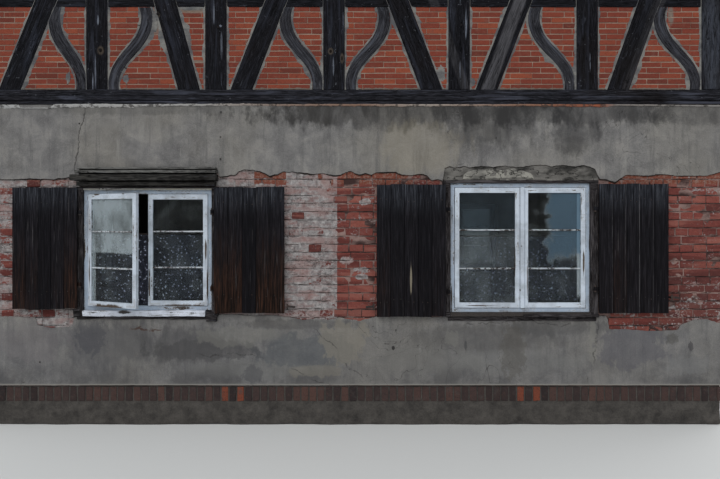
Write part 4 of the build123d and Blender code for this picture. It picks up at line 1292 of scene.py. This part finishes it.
def band(name, across, spacing, rows, low, high, surface, material, back, hold=0.004):
    """A coat between two edges, low and high, which are functions of X. back is the Y behind it."""
    bm = bmesh.new()
    columns = round((across[1] - across[0]) / spacing)
    bmesh.ops.create_grid(bm, x_segments=columns, y_segments=rows, size=0.5)
    for vert in bm.verts:
        x = across[0] + (vert.co.x + 0.5) * (across[1] - across[0])
        share = vert.co.y + 0.5
        share = share * share * (3 - 2 * share)
        z = low(x) + share * (high(x) - low(x))
        worn = hold if vert.is_boundary else 0.0
        vert.co = (x, surface(x, z) + worn, z)
    rim = [edge for edge in bm.edges if edge.is_boundary]
    made = bmesh.ops.extrude_edge_only(bm, edges=rim)["geom"]
    for item in made:
        if isinstance(item, bmesh.types.BMVert):
            item.co.y = back
    bmesh.ops.recalc_face_normals(bm, faces=bm.faces[:])
    if bm.faces[len(bm.faces) // 3].normal.y > 0:
        bmesh.ops.reverse_faces(bm, faces=bm.faces[:])
    return finish_piece(name, bm, material, smooth=True)


def trowelled(x, z):
    """The plaster's face, a little uneven, with a lip at its foot."""
    lip = 0.006 * max(0.0, 1.0 - (z - plaster_bottom) / 0.03)
    uneven = 0.0035 * rough((x, 0, z), 1.6) + 0.0016 * rough((x, 0, z), 7.0, 4.0)
    return -half_depth + 0.002 - lip + uneven


def broken(x, z):
    """The rough bed where plaster has come off over the right window."""
    crevice = max(0.0, 0.16 - abs(rough((x, 0, 2.2 * z), 5.0, 7.0))) / 0.16
    lumps = 0.004 * rough((x, 0, z), 16.0, 5.0) + 0.003 * rough((x, 0, z), 50.0, 2.0)
    return -half_depth + 0.002 + lumps + 0.007 * crevice


def patch_face(x, z):
    return -half_depth + 0.0005 + 0.004 * rough((x, 0, z), 14.0, 9.0) + 0.002 * rough((x, 0, z), 45.0)


whole_front = (-half_width, half_width)
upper = band(
    "upper_plaster", whole_front, 0.011, 42, lambda x: ragged(UPPER_EDGE, x),
    lambda x: wall_top - 0.001, trowelled, PLASTER, -brick_depth,
)
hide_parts("front_plaster")
band(
    "lower_plaster", whole_front, 0.013, 36, lambda x: plaster_bottom + 0.002 * rough((x, 0, 0), 9.0),
    lambda x: ragged(LOWER_EDGE, x, 1.0, 3.0), trowelled, PLASTER, -brick_depth,
)


def lifted(x):
    """The foot of the dark strip that paints the shade in the gap where the plaster has come away from the
    bricks.
    """
    gap = 0.002 + 0.012 * max(0.0, 0.3 + rough((x, 0, 0), 8.0, 12.0))
    return ragged(UPPER_EDGE, x) - gap


# A dark strip just behind the upper plaster's ragged edge: painted shade under its lifted edge.
band(
    "painted_shadow_under_plaster_edge", whole_front, 0.012, 2, lifted, lambda x: ragged(UPPER_EDGE, x) + 0.004,
    lambda x, z: -brick_depth - 0.0125, PAINTED_SHADOW, -brick_depth, 0.0,
)
lintel = (column(443.5), column(598.5))
band(
    "broken_lintel", lintel, 0.009, 20, lambda x: row(182.8), lambda x: ragged(UPPER_EDGE, x) - 0.006,
    broken,
    LINTEL_MORTAR, -brick_depth,
)
PATCH_TOP = (
    (463, 176), (467, 172), (474, 169.6), (490, 169), (500, 170.4), (514, 168.6), (524, 171),
    (531, 173), (534, 178),
)
PATCH_FOOT = ((463, 179), (480, 179.4), (500, 178.6), (515, 177.6), (525, 177.8), (534, 179.6))
band(
    "lintel_patch", (column(463), column(534)), 0.009, 10, lambda x: ragged(PATCH_FOOT, x, 0.7, 6.0),
    lambda x: ragged(PATCH_TOP, x, 1.0, 7.0), patch_face, LINTEL_LIGHT, -brick_depth,
)
SLIVER_TOP = ((466, 180), (500, 179), (530, 180.2), (575, 179.8), (590, 181))
band(
    "lintel_sliver", (column(466), column(590)), 0.009, 3,
    lambda x: row(181.8) + 0.003 * rough((x, 0, 0), 30.0),
    lambda x: ragged(SLIVER_TOP, x, 0.8, 8.0), patch_face, LINTEL_LIGHT, -brick_depth,
)

BEAM_LINE = (
    (-30, 106.2), (18, 106.4), (21, 108.2), (50, 108.2), (56, 105.6), (85, 104.6), (130, 105.3),
    (160, 104.6), (240, 104.0), (300, 104.7), (360, 104.8), (400, 105.2), (470, 104.9), (540, 105),
    (600, 105.7), (612, 105.0), (660, 105.4), (740, 106.4),
)
BEAM_HALF = (
    (-30, 2.1), (18, 2.0), (21, 0.5), (50, 0.5), (56, 2.2), (85, 2.8), (130, 2.3), (150, 1.6),
    (240, 1.8), (300, 1.4), (470, 1.2), (590, 1.4), (606, 1.6), (612, 0.9), (740, 0.9),
)


def pressed(x, z):
    """The mortar under the beam, which bulges from the plaster."""
    px = x / PIXEL + CENTRE_COLUMN
    middle = row(through(BEAM_LINE, px))
    half = through(BEAM_HALF, px) * PIXEL
    off = min(1.0, abs(z - middle) / half)
    return -half_depth - 0.002 - 0.007 * (1 - off * off) + 0.002 * rough((x, 0, z), 30.0)


def beam_edge(x, side):
    px = x / PIXEL + CENTRE_COLUMN
    edge = through(BEAM_LINE, px) - side * through(BEAM_HALF, px) * (
        1 + 0.5 * rough((x, 0, side), 11.0) + 0.4 * rough((x, 0, side), 40.0)
    )
    return row(edge)


band(
    "beam_mortar", whole_front, 0.011, 6, lambda x: beam_edge(x, -1),
    lambda x: min(wall_top + 0.026, beam_edge(x, 1)),
    pressed, BEAM_MORTAR, -half_depth + 0.006, 0.0,
)


def wall_plugs():
    """Old plugs and nail holes in the plaster."""
    bm = bmesh.new()
    turn = Matrix.Rotation(math.radians(90), 4, "X")
    spots = (
        (79.5, 123.5, 0.007), (221, 112, 0.008), (220.5, 137, 0.007), (220.5, 159, 0.008),
        (511, 129, 0.005), (496, 138, 0.006), (40, 362, 0.007), (396, 330, 0.006),
    )
    for px, py, radius in spots:
        place = Matrix.Translation((column(px), -half_depth - 0.001, row(py)))
        bmesh.ops.create_cone(
            bm, segments=10, radius1=radius, radius2=radius * 0.9, depth=0.008, cap_ends=True,
            matrix=place @ turn,
        )
    return finish_piece("wall_plugs", bm, HOLE)


wall_plugs()


# Windows


SASH_STILE = 0.046
SASH_RAIL = 0.052
SASH_DEPTH = 0.034
PANE_SETBACK = 0.015


class Sash:
    """One sash: its place, with X along it, Y into the house and Z up, and its size."""

    def __init__(self, verts, side):
        back = facing(side).inverted()
        points = [back @ vert.co for vert in verts]
        hinge = min(points, key=lambda point: (round(point.x, 3), round(point.y, 3)))
        free = min(points, key=lambda point: (round(point.y, 3), -round(point.x, 3)))
        low, high = limits(points)
        along = Vector((free.x - hinge.x, free.y - hinge.y, 0))
        self.width = along.length
        self.height = high.z - low.z
        self.low = low.z
        self.side = side
        along.normalize()
        into = Vector((0, 0, 1)).cross(along)
        turn = Matrix((along, into, Vector((0, 0, 1)))).transposed().to_4x4()
        self.place = facing(side) @ Matrix.Translation((hinge.x, hinge.y, low.z)) @ turn


def sashes(node):
    """All sashes of a node, each with the side of the house that it faces."""
    bm = clean_copy(node)
    found = []
    for verts in islands(bm):
        middle = sum((vert.co for vert in verts), Vector()) / len(verts)
        if abs(middle.y) > half_depth - 0.25:
            side = FRONT if middle.y < 0 else BACK
        else:
            side = LEFT if middle.x < 0 else RIGHT
        found.append(Sash(verts, side))
    bm.free()
    return found


PUTTY_WIDTH = 0.006
# How far a bar lies behind the sash's face and reaches into its stiles, and how its front narrows
BAR_SETBACK = 0.004
BAR_TENON = 0.004
BAR_TAPER = 0.4


def glazing(name, group, bar_heights, bar_half=0.0085):
    """The glazing bars and the putty of some sashes."""
    bars = bmesh.new()
    putty = bmesh.new()
    for sash in group:
        left = SASH_STILE
        right = sash.width - SASH_STILE
        foot = SASH_RAIL
        head = sash.height - SASH_RAIL
        for height in bar_heights:
            z = height - sash.low
            verts = add_box(
                bars, (left - BAR_TENON, BAR_SETBACK, z - bar_half),
                (right + BAR_TENON, SASH_DEPTH - BAR_SETBACK, z + bar_half),
            )
            front = [vert for vert in verts if vert.co.y < SASH_DEPTH / 2]
            for vert in front:
                vert.co.z += BAR_TAPER * (z - vert.co.z)
            for vert in verts:
                vert.co = sash.place @ vert.co
        corners = [(left, foot), (right, foot), (right, head), (left, head)]
        before = set(putty.verts)
        face = putty.faces.new([putty.verts.new((x, BAR_SETBACK, z)) for x, z in corners])
        bmesh.ops.inset_region(
            putty, faces=[face], thickness=PUTTY_WIDTH, use_boundary=True, use_even_offset=True,
        )
        for vert in face.verts:
            vert.co.y = PANE_SETBACK - 0.0005
        bmesh.ops.delete(putty, geom=[face], context="FACES_ONLY")
        for vert in set(putty.verts) - before:
            vert.co = sash.place @ vert.co
    cut_across(bars, 0, 0.03)
    for vert in bars.verts:
        vert.co += noise.noise_vector(vert.co * 30.0) * 0.0012
    cut_across(putty, 2, 0.05)
    cut_across(putty, 0, 0.05)
    for vert in putty.verts:
        vert.co += noise.noise_vector(vert.co * 40.0) * 0.0012
    finish_piece(name + "_bars", bars, BAR_PAINT)
    finish_piece(name + "_putty", putty, PUTTY, smooth=True)


def corner_irons(name, group):
    """Flat iron angles that hold the lower corners of the sashes together."""
    bm = bmesh.new()
    long = 0.105
    broad = 0.017
    for sash in group:
        for corner, turn in ((0.012, 1), (sash.width - 0.012, -1)):
            made = []
            flat = sorted((corner, corner + turn * long))
            tall = sorted((corner, corner + turn * broad))
            made += add_box(bm, (flat[0], -0.0025, 0.014), (flat[1], 0.001, 0.014 + broad))
            made += add_box(
                bm, (tall[0], -0.0024, 0.014 + broad * 0.9), (tall[1], 0.001, 0.014 + long * 0.8),
            )
            for vert in made:
                vert.co = sash.place @ vert.co
    round_edges(bm, 0.0008)
    finish_piece(name, bm, WHITE_IRON)


def cover_strip(group):
    """The half round strip over the gap where two shut sashes meet."""
    left, right = sorted(group, key=lambda sash: sash.place.translation.x)
    middle = right.place.translation
    bm = bmesh.new()
    top = left.low + left.height
    add_box(bm, (column(520.2), middle.y - 0.013, left.low), (column(524.0), middle.y + 0.002, top))
    add_box(
        bm, (column(524.6), middle.y - 0.006, left.low + 0.02),
        (column(528.0), middle.y + 0.012, top - 0.02),
    )
    round_edges(bm, 0.006, 3)
    cut_across(bm, 2, 0.06)
    for vert in bm.verts:
        vert.co += noise.noise_vector(vert.co * 12.0) * 0.0012
    finish_piece("cover_strip", bm, PAINT)


def lace_curtain(node):
    """A pleated net that hangs from its rod, in the space of the plain CAD slab."""
    low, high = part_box(node)
    middle = (low.y + high.y) / 2
    columns = 260
    rows = 36
    bm = bmesh.new()
    bmesh.ops.create_grid(bm, x_segments=columns, y_segments=rows, size=0.5)
    cloth = bm.loops.layers.uv.new("cloth")
    hung = {}
    for vert in bm.verts:
        across = vert.co.x + 0.5
        up = vert.co.y + 0.5
        hung[vert] = (across, up)
        x = low.x + 0.006 + across * (high.x - low.x - 0.012)
        gather = 0.5 + 0.5 * up
        phase = x * 105.0 + 1.5 * math.sin(x * 17.0) + 0.6 * math.sin(x * 41.0 + up * 2.0)
        sway = 0.006 * math.sin(x * 9.0 + 3.0 * up) * (1 - up)
        vert.co = (x, middle + math.sin(phase) * 0.0075 * gather + sway, low.z + up * (high.z - low.z))
    columns_of = sorted(
        (vert for vert in bm.verts if hung[vert][1] < 0.5 / rows), key=lambda vert: vert.co.x,
    )
    width = sum((b.co - a.co).length for a, b in zip(columns_of, columns_of[1:]))
    for face in bm.faces:
        for loop in face.loops:
            across, up = hung[loop.vert]
            loop[cloth].uv = (across * width, up * (high.z - low.z))
    area = sum(face.calc_area() for face in bm.faces)
    piece = finish_piece("lace_of_" + node, bm, LACE, smooth=True)
    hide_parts(node)
    return piece


front_bars = (row(231.5), row(267.5))
left_sashes = sashes("left_window_sashes")
right_sashes = sashes("right_window_sashes")
glazing("left_window", left_sashes, front_bars)
glazing("right_window", right_sashes, (row(230), row(268.5)))
glazing("plain_windows", sashes("plain_window_sashes"), front_bars)
corner_irons("left_corner_irons", left_sashes)
cover_strip(right_sashes)


def shrunk(group):
    """Opens the gaps around the sashes of a window, which have dried and worn."""
    def change(vert, here):
        for sash in group:
            local = sash.place.inverted() @ here
            if abs(local.y - SASH_DEPTH / 2) > 0.04 or not -0.02 < local.x < sash.width + 0.02:
                continue
            move = Vector((
                (local.x < 0.01) - (local.x > sash.width - 0.01), 0,
                (local.z < 0.01) - (local.z > sash.height - 0.01),
            ))
            vert.co += sash.place.to_3x3() @ (move * 0.003)
            return
    return change


weathered(
    "front_window_frames", (0, 2), 20, FRAME_PAINT, arris=0.003, wander=0.0012, step=0.05,
    ring=True,
)
weathered(
    "left_window_sashes", (0, 2), 21, PAINT, arris=0.003, wander=0.0012, step=0.05,
    change=shrunk(left_sashes), ring=True,
)
weathered(
    "right_window_sashes", (0, 2), 22, PAINT, arris=0.003, wander=0.0012, step=0.05,
    change=shrunk(right_sashes), ring=True,
)


def rotten(vert, here):
    """Eats away the front edge and the ends of the sills."""
    front = max(0.0, 1.0 - (here.y + half_depth + 0.045) / 0.03)
    bite = max(0.0, rough(here, 9.0, 4.0) - 0.05) * 0.03
    vert.co.y += bite * front
    vert.co.z += 0.005 * rough(here, 11.0, 1.0)


weathered(
    "front_window_sills", (0, 2), 25, SILL_PAINT, arris=0.004, wander=0.002, step=0.014,
    change=rotten,
)


def along_grain(bm, axis, seed):
    """The grain's UV map for boards that all lie along one axis."""
    grain = bm.loops.layers.uv.new("grain")
    for face in bm.faces:
        for loop in face.loops:
            place = loop.vert.co
            across = place.z + 0.7 * place.y if axis == 0 else place.x + 0.7 * place.y
            loop[grain].uv = (place[axis] + seed, across)


def worn_boards(name, boards, material, seed, arris=0.003, wander=0.004):
    """Level boards, each given by its columns, its rows and how far it stands out, worn and warped."""
    bm = bmesh.new()
    for left, right, top, foot, out in boards:
        add_box(
            bm, (column(left), -half_depth - out, row(foot)),
            (column(right), -half_depth + 0.012, row(top)),
        )
    round_edges(bm, arris, 2)
    cut_across(bm, 0, 0.03)
    along_grain(bm, 0, seed)
    for vert in bm.verts:
        here = vert.co.copy()
        vert.co += (noise.noise_vector(here * 3.0) * 0.6 + noise.noise_vector(here * 15.0) * 0.4) * wander
        vert.co.y += 0.004 * rough((here.x, 0, round(here.z / 0.02)), 30.0, seed) * (here.y < -half_depth)
    return finish_piece(name, bm, material)


hood = worn_boards(
    "hood_lip",
    ((74.6, 218.4, 175.1, 180.9, 0.114), (79.5, 216.4, 182.2, 185.9, 0.074), (80, 216, 168.2, 186.4, 0.02)),
    HOOD_WOOD, 12,
)
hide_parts("left_window_hood")
worn_boards(
    "hood_top", ((81, 217.3, 167.7, 169.6, 0.086), (78.5, 217.8, 170.8, 173.5, 0.102)), HOOD_TOP,
    14,
)
worn_boards(
    "sill_remains",
    (
        (446.5, 523, 313.6, 317.4, 0.01), (523, 598, 313.6, 317.0, 0.034),
        (448, 596, 317.2, 320.6, 0.012), (77, 216, 316.4, 319.2, 0.014), (206, 217.5, 311.5, 321, 0.03),
        (74, 80.5, 308.5, 316.5, 0.024),
    ),
    CASING_WOOD, 13, 0.006, 0.012,
)
worn_boards(
    "head_strip", ((84.5, 212, 188.5, 190.2, 0.0225),), HEAD_PAINT, 15, 0.001, 0.001,
)
lace_curtain("left_window_curtain")
lace_curtain("right_window_curtain")


# Shutters


SHUTTERS = (
    "left_window_left_shutter", "left_window_right_shutter", "right_window_left_shutter",
    "right_window_right_shutter",
)
BOARDS = 5
BOARD_TONES = (
    (0.74, 0.62, 0.34, 0.56, 0.8), (0.95, 1.0, 0.3, 0.9, 0.95), (0.62, 0.4, 0.5, 0.36, 0.55),
    (0.5, 0.66, 0.5, 0.45, 0.4),
)
GROOVE = 0.007
# Rows of nails and straps, from the shutter's ends, and a strap's reach from its hinge
NAIL_ROW = 0.15
STRAP_ROW = 0.23
STRAP_START = 0.004
STRAP_END = 0.379
STRAP_HALF = 0.0172


def weathered_shutter(node, seed, tones):
    """Worn planks whose ends don't line up, with the nails of their battens."""
    chance = random.Random(seed)
    low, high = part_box(node)
    shifts = [(chance.uniform(-0.006, 0.004), chance.uniform(-0.004, 0.006)) for _ in range(BOARDS + 1)]
    board_faces = [
        (vert.co.x, vert.co.y, vert.co.z) for vert in nodes[node].data.vertices
        if abs(vert.co.z - high.z) < 0.001
    ]
    left = min(point[0] for point in board_faces)
    right = max(point[0] for point in board_faces)
    front = min(point[1] for point in board_faces)
    pitch = (right - left) / BOARDS

    joints = [left + number * pitch for number in range(1, BOARDS)]

    def in_groove(here):
        return here.y < front + 0.006 and min(abs(here.x - joint) for joint in joints) < 0.0008

    # Tone 0 marks the grooves, which the shutter material paints as shade.
    def tone_of(here):
        return 0.0 if in_groove(here) else tones[min(BOARDS - 1, max(0, int((here.x - left) / pitch)))]

    def uneven(vert, here):
        if in_groove(here):
            vert.co.y += GROOVE
            return
        board = min(BOARDS, max(0, int((here.x - left) / pitch)))
        foot, head = shifts[board]
        if here.z < low.z + 0.03:
            vert.co.z += foot + 0.003 * rough(here, 40.0, seed)
        if here.z > high.z - 0.03:
            vert.co.z += head + 0.003 * rough(here, 40.0, seed)
        if here.y < front + 0.012:
            vert.co.y += 0.003 * math.sin((here.x - left) / pitch * math.pi * 2 + board) * rough(
                (board, 0, here.z), 1.1,
            )

    weathered(
        node, (2,), seed, SHUTTER, node, arris=0.0025, wander=0.0016, step=0.07,
        change=uneven,
        joints=joints, tone_of=tone_of,
    )
    nails = bmesh.new()
    turn = Matrix.Rotation(math.radians(90), 4, "X")
    for z in (low.z + NAIL_ROW, high.z - NAIL_ROW):
        for board in range(BOARDS):
            for share in (0.28, 0.72):
                x = left + (board + share) * pitch + chance.uniform(-0.006, 0.006)
                place = Matrix.Translation((x, front - 0.0005, z + chance.uniform(-0.02, 0.02)))
                bmesh.ops.create_cone(
                    nails, segments=8, radius1=0.005, radius2=0.0035, depth=0.004, cap_ends=True,
                    matrix=place @ turn,
                )
    finish_piece("nails_of_" + node, nails, IRON, node)
    outward = 1 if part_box(node)[0].x < left - 0.02 else -1
    hinge = left if outward == 1 else right
    straps = bmesh.new()
    back = front + 0.024
    for z in (low.z + STRAP_ROW, high.z - STRAP_ROW):
        ends = sorted((hinge + outward * STRAP_START, hinge + outward * STRAP_END))
        add_box(
            straps, (ends[0], back - 0.002, z - STRAP_HALF), (ends[1], back + 0.0047, z + STRAP_HALF),
        )
    round_edges(straps, 0.0012)
    finish_piece("straps_of_" + node, straps, IRON, node)


for seed, node in enumerate(SHUTTERS):
    weathered_shutter(node, 30 + seed, BOARD_TONES[seed])


def holdback_tails():
    """The thin leaves of the holdbacks, which point away from the shutters."""
    bm = bmesh.new()
    for low, high in solid_boxes("shutter_irons"):
        if high.z - low.z < 0.055 or high.y < -half_depth or high.x - low.x > 0.02:
            continue
        away = -1 if column(330) < low.x < column(400) else 1
        start = (low.x + high.x) / 2
        middle = (low.z + high.z) / 2
        ends = sorted((start, start + away * 0.074))
        verts = add_box(
            bm, (ends[0], low.y - 0.001, middle - 0.005), (ends[1], low.y + 0.005, middle + 0.016),
        )
        for vert in verts:
            if abs(vert.co.x - start) > 0.05:
                vert.co.z -= 0.007
    round_edges(bm, 0.001)
    cut_across(bm, 0, 0.02)
    finish_piece("holdback_tails", bm, IRON)


holdback_tails()


# Footing


def footing(vert, here):
    deep = min(1.0, max(0.0, (0.21 - here.z) / 0.02))
    vert.co += noise.noise_vector(here * 5.0) * 0.014 * deep


weathered(
    "plinth", (0, 1, 2), 40, FOUNDATION, arris=0.012, wander=0.003, step=0.07, change=footing,
)
PLINTH_LEDGE = 0.21


def standing_bricks():
    """The course of bricks on edge between the plaster and the footing, on all sides."""
    bm = bmesh.new()
    low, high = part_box("plinth")
    for side, half, distance in (
        (FRONT, high.x, high.y), (BACK, high.x, high.y), (LEFT, high.y, high.x), (RIGHT, high.y, high.x),
    ):
        place = facing(side) @ Matrix.Translation((0, -distance, 0))
        up = (PLINTH_LEDGE + 0.016, plinth_top - 0.008)
        skip = None
        if side == BACK:
            skip = lambda left, right, low, high: right > -0.66 and left < 0.66 and low < 0.18
        lay(
            bm, place, (-half, half), up, (0.064, up[1] - up[0], 0.05), 0.012, 0.006, 60 + side, skip,
            0.002,
        )
    round_edges(bm, 0.006, 2)
    for vert in bm.verts:
        vert.co += noise.noise_vector(vert.co * 20.0) * 0.004
    finish_piece("standing_bricks", bm, PLINTH_BRICK)


standing_bricks()


# Roof


TILE_WIDTH = 0.18
TILE_SHOWS = 0.15
TILE_LENGTH = 0.34
TILE_THICKNESS = 0.014


def tile_mesh():
    """One plain tile with a round foot, from its head at the origin down along -Y."""
    bm = bmesh.new()
    half = TILE_WIDTH / 2 - 0.002
    made = bmesh.ops.create_circle(bm, cap_ends=True, segments=12, radius=half)["verts"]
    upper = [vert for vert in made if vert.co.y > -1e-4]
    for vert in made:
        vert.co.y = vert.co.y * 0.55 - TILE_LENGTH + half * 0.55
    for vert in upper:
        if abs(abs(vert.co.x) - half) > 0.001:
            vert.co.y = 0.0
            vert.co.x = math.copysign(half, vert.co.x) if abs(vert.co.x) > 0.001 else 0.0
    bmesh.ops.remove_doubles(bm, verts=bm.verts[:], dist=0.0005)
    lifted = bmesh.ops.extrude_face_region(bm, geom=bm.faces[:])["geom"]
    for item in lifted:
        if isinstance(item, bmesh.types.BMVert):
            item.co.z += TILE_THICKNESS
    bmesh.ops.recalc_face_normals(bm, faces=bm.faces[:])
    mesh = bpy.data.meshes.new("tile")
    bm.to_mesh(mesh)
    bm.free()
    return mesh


def roof_slope(node, side):
    """Plain tiles in courses from the eaves to the ridge, and the boarding under them."""
    chance = random.Random(70 + side)
    low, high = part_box(node)
    half = high.x
    slope = Matrix.Rotation(PITCH, 4, "X")
    length = max(abs(low.y), abs(high.y)) / math.cos(PITCH)
    top = facing(side) @ Matrix.Translation((0, 0, high.z)) @ slope
    columns = round(2 * half / TILE_WIDTH)
    pitch = 2 * half / columns
    courses = int((length - 0.06) / TILE_SHOWS)
    tilt = Matrix.Rotation(math.atan(TILE_THICKNESS * 1.9 / TILE_SHOWS / 2), 4, "X")
    places = []
    for course in range(courses + 1):
        foot = length - 0.012 - course * TILE_SHOWS
        head = foot - TILE_LENGTH
        shift = pitch / 2 * (course % 2)
        for i in range(columns + (course % 2)):
            x = -half + (i + 0.5) * pitch - shift
            inside = min(half - TILE_WIDTH / 2, max(-half + TILE_WIDTH / 2, x))
            jitter = Matrix.Rotation(chance.uniform(-0.012, 0.012), 4, "Z")
            lift = -TILE_THICKNESS * 2.6 + chance.uniform(-0.002, 0.002)
            place = Matrix.Translation((inside, -max(head, 0.0), lift)) @ tilt @ jitter
            places.append(top @ place)
    mesh = tile_mesh()
    bm = repeated(mesh, places)
    tone = bm.verts.layers.float.new("tone")
    bm.verts.ensure_lookup_table()
    count = len(mesh.vertices)
    for i in range(len(places)):
        own = min(1.0, max(0.0, chance.gauss(0.5, 0.2)))
        for vert in bm.verts[i * count : (i + 1) * count]:
            vert[tone] = own
    tiles = finish_piece("tiles_of_" + node, bm, ROOF_TILES)
    boarding = bmesh.new()
    add_box(boarding, (-half + 0.004, -length + 0.03, -0.07), (half - 0.004, 0.0, -0.045), top)
    under = finish_piece("boarding_of_" + node, boarding, INNER_TIMBER)
    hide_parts(node)
    return tiles, under


RIDGE_TILE = 0.33
RIDGE_LAP = 1.06
RIDGE_TAPER = 0.93
RIDGE_THICKNESS = 0.016
# The caps stay this far below the top of the solid that they stand for
RIDGE_SINK = 0.004


def ridge():
    """Half round tiles along the ridge, each lapping the next."""
    low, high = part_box("ridge_tiles")
    count = round((high.x - low.x) / RIDGE_TILE)
    pitch = (high.x - low.x) / count
    bm = bmesh.new()
    tone = bm.verts.layers.float.new("tone")
    chance = random.Random(80)
    radius = high.y * 0.8
    for i in range(count):
        made = bmesh.ops.create_circle(bm, segments=20, radius=radius)
        verts = made["verts"]
        lower = [vert for vert in verts if vert.co.y < -0.25 * radius]
        bmesh.ops.delete(bm, geom=lower, context="VERTS")
        arch = [vert for vert in verts if vert.is_valid]
        place = Matrix.Translation((low.x + i * pitch, 0, high.z - radius - RIDGE_SINK))
        stand = Matrix(((0, 0, 1), (1, 0, 0), (0, 1, 0))).to_4x4()
        for vert in arch:
            vert.co = place @ stand @ vert.co
        edges = dict.fromkeys(edge for vert in arch for edge in vert.link_edges)
        out = bmesh.ops.extrude_edge_only(bm, edges=list(edges))["geom"]
        own = chance.random()
        reach = pitch * RIDGE_LAP if i < count - 1 else pitch
        for item in out:
            if isinstance(item, bmesh.types.BMVert):
                item.co.x += reach
                item.co.y *= RIDGE_TAPER
                above = item.co.z - high.z + radius + RIDGE_SINK
                item.co.z = high.z - radius - RIDGE_SINK + above * RIDGE_TAPER
                item[tone] = own
        for vert in arch:
            vert[tone] = own
    bmesh.ops.solidify(bm, geom=bm.faces[:], thickness=RIDGE_THICKNESS)
    bmesh.ops.recalc_face_normals(bm, faces=bm.faces[:])
    piece = finish_piece("ridge_caps", bm, ROOF_TILES)
    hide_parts("ridge_tiles")


roof_slope("front_roof_slope", FRONT)
roof_slope("back_roof_slope", BACK)
ridge()


def chimney_bricks():
    low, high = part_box("chimney")
    middle = (low + high) / 2
    bm = bmesh.new()
    cap_low = high.z - 0.14
    cap_half = (high.x - low.x) / 2
    half = cap_half - 0.045
    foot = truss_top - abs(high.y) * math.tan(PITCH) - 0.3
    for side in (FRONT, BACK, LEFT, RIGHT):
        stand = Matrix.Translation((middle.x, middle.y, 0)) @ facing(side)
        for distance, z0, z1 in ((half, foot, cap_low), (cap_half, cap_low + 0.004, high.z - 0.004)):
            place = stand @ Matrix.Translation((0, -distance, 0))
            size = (0.235, 0.063, 0.03)
            lay(bm, place, (-distance, distance), (z0, z1), size, 0.011, 0.003, 90 + side)
    round_edges(bm, 0.004)
    finish_piece("chimney_bricks", bm, CHIMNEY_BRICK)


chimney_bricks()


# Back door


def door_planks():
    """Upright planks and their nails on the outside of the back door, and its latch."""
    low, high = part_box("back_door")
    chance = random.Random(95)
    bm = bmesh.new()
    count = 6
    pitch = (high.x - low.x) / count
    for i in range(count):
        start = low.x + i * pitch
        foot = low.z + 0.01 + chance.uniform(0, 0.008)
        add_box(
            bm, (start + 0.002, high.y - 0.004, foot),
            (start + pitch - 0.002, high.y + 0.009, high.z - 0.004),
        )
    round_edges(bm, 0.003, 2)
    cut_across(bm, 2, 0.12)
    for vert in bm.verts:
        vert.co += noise.noise_vector(vert.co * 6.0) * 0.0015
    finish_piece("door_planks", bm, DOOR_BOARDS)
    latch = bmesh.new()
    add_box(latch, (high.x - 0.13, high.y + 0.006, 1.28), (high.x - 0.09, high.y + 0.013, 1.5))
    add_box(latch, (high.x - 0.24, high.y + 0.04, 1.395), (high.x - 0.1, high.y + 0.056, 1.413))
    add_box(latch, (high.x - 0.118, high.y + 0.01, 1.395), (high.x - 0.1, high.y + 0.05, 1.413))
    round_edges(latch, 0.003, 2)
    finish_piece("door_latch", latch, IRON)


door_planks()


# Finishes of the CAD nodes that stay as they are


by_slot = {
    "plaster": PLASTER, "infill_brick": INFILL_MORTAR, "brick_wall": WALL_MORTAR,
    "chimney_brick": INFILL_MORTAR,
    "roof_tiles": ROOF_TILES, "foundation": FOUNDATION, "inner_timber": INNER_TIMBER, "old_timber": TIMBER,
    "shutter_boards": SHUTTER, "door_boards": DOOR_BOARDS, "window_paint": PAINT, "window_glass": GLASS,
    "iron": IRON, "net": LACE,
}
slots = {entry["node"]: entry["material_slot"] for entry in frame["record"]["subparts"]}
for node, piece in nodes.items():
    piece.data.materials.clear()
    piece.data.materials.append(by_slot[slots[node]])


# Stage, light and camera


def stage():
    bm = bmesh.new()
    bmesh.ops.create_grid(bm, x_segments=1, y_segments=1, size=60)
    mesh = bpy.data.meshes.new("floor")
    bm.to_mesh(mesh)
    bm.free()
    floor = bpy.data.objects.new("floor", mesh)
    bpy.context.scene.collection.objects.link(floor)
    pale = bpy.data.materials.new("floor")
    pale.use_nodes = True
    shader = pale.node_tree.nodes["Principled BSDF"]
    shader.inputs["Base Color"].default_value = (0.62, 0.62, 0.61, 1.0)
    shader.inputs["Roughness"].default_value = 0.95
    mesh.materials.append(pale)


def lamp(name, direction, strength, angle):
    light = bpy.data.lights.new(name, "SUN")
    light.energy = strength
    light.angle = math.radians(angle)
    holder = bpy.data.objects.new(name, light)
    holder.rotation_mode = "QUATERNION"
    holder.rotation_quaternion = Vector(direction).to_track_quat("-Z", "Y")
    bpy.context.scene.collection.objects.link(holder)


def world(strength):
    sky = bpy.data.worlds.new("sky")
    sky.use_nodes = True
    back = sky.node_tree.nodes["Background"]
    back.inputs["Color"].default_value = (0.93, 0.97, 1.0, 1.0)
    back.inputs["Strength"].default_value = strength
    bpy.context.scene.world = sky


def camera():
    lens = bpy.data.cameras.new("camera")
    lens.sensor_width = 36.0
    lens.lens = 33.7
    lens.shift_y = -19.5 / 720
    eye = bpy.data.objects.new("camera", lens)
    eye.location = (column(360), -half_depth - 6.4, row(220))
    eye.rotation_euler = (math.radians(90), 0, 0)
    bpy.context.scene.collection.objects.link(eye)
    bpy.context.scene.camera = eye


stage()
world(0.8)
lamp("key", (0.25, 0.75, -0.75), 1.3, 50)
lamp("fill", (-0.4, -0.7, -0.6), 0.8, 60)
camera()
bpy.context.scene.view_settings.view_transform = "Standard"
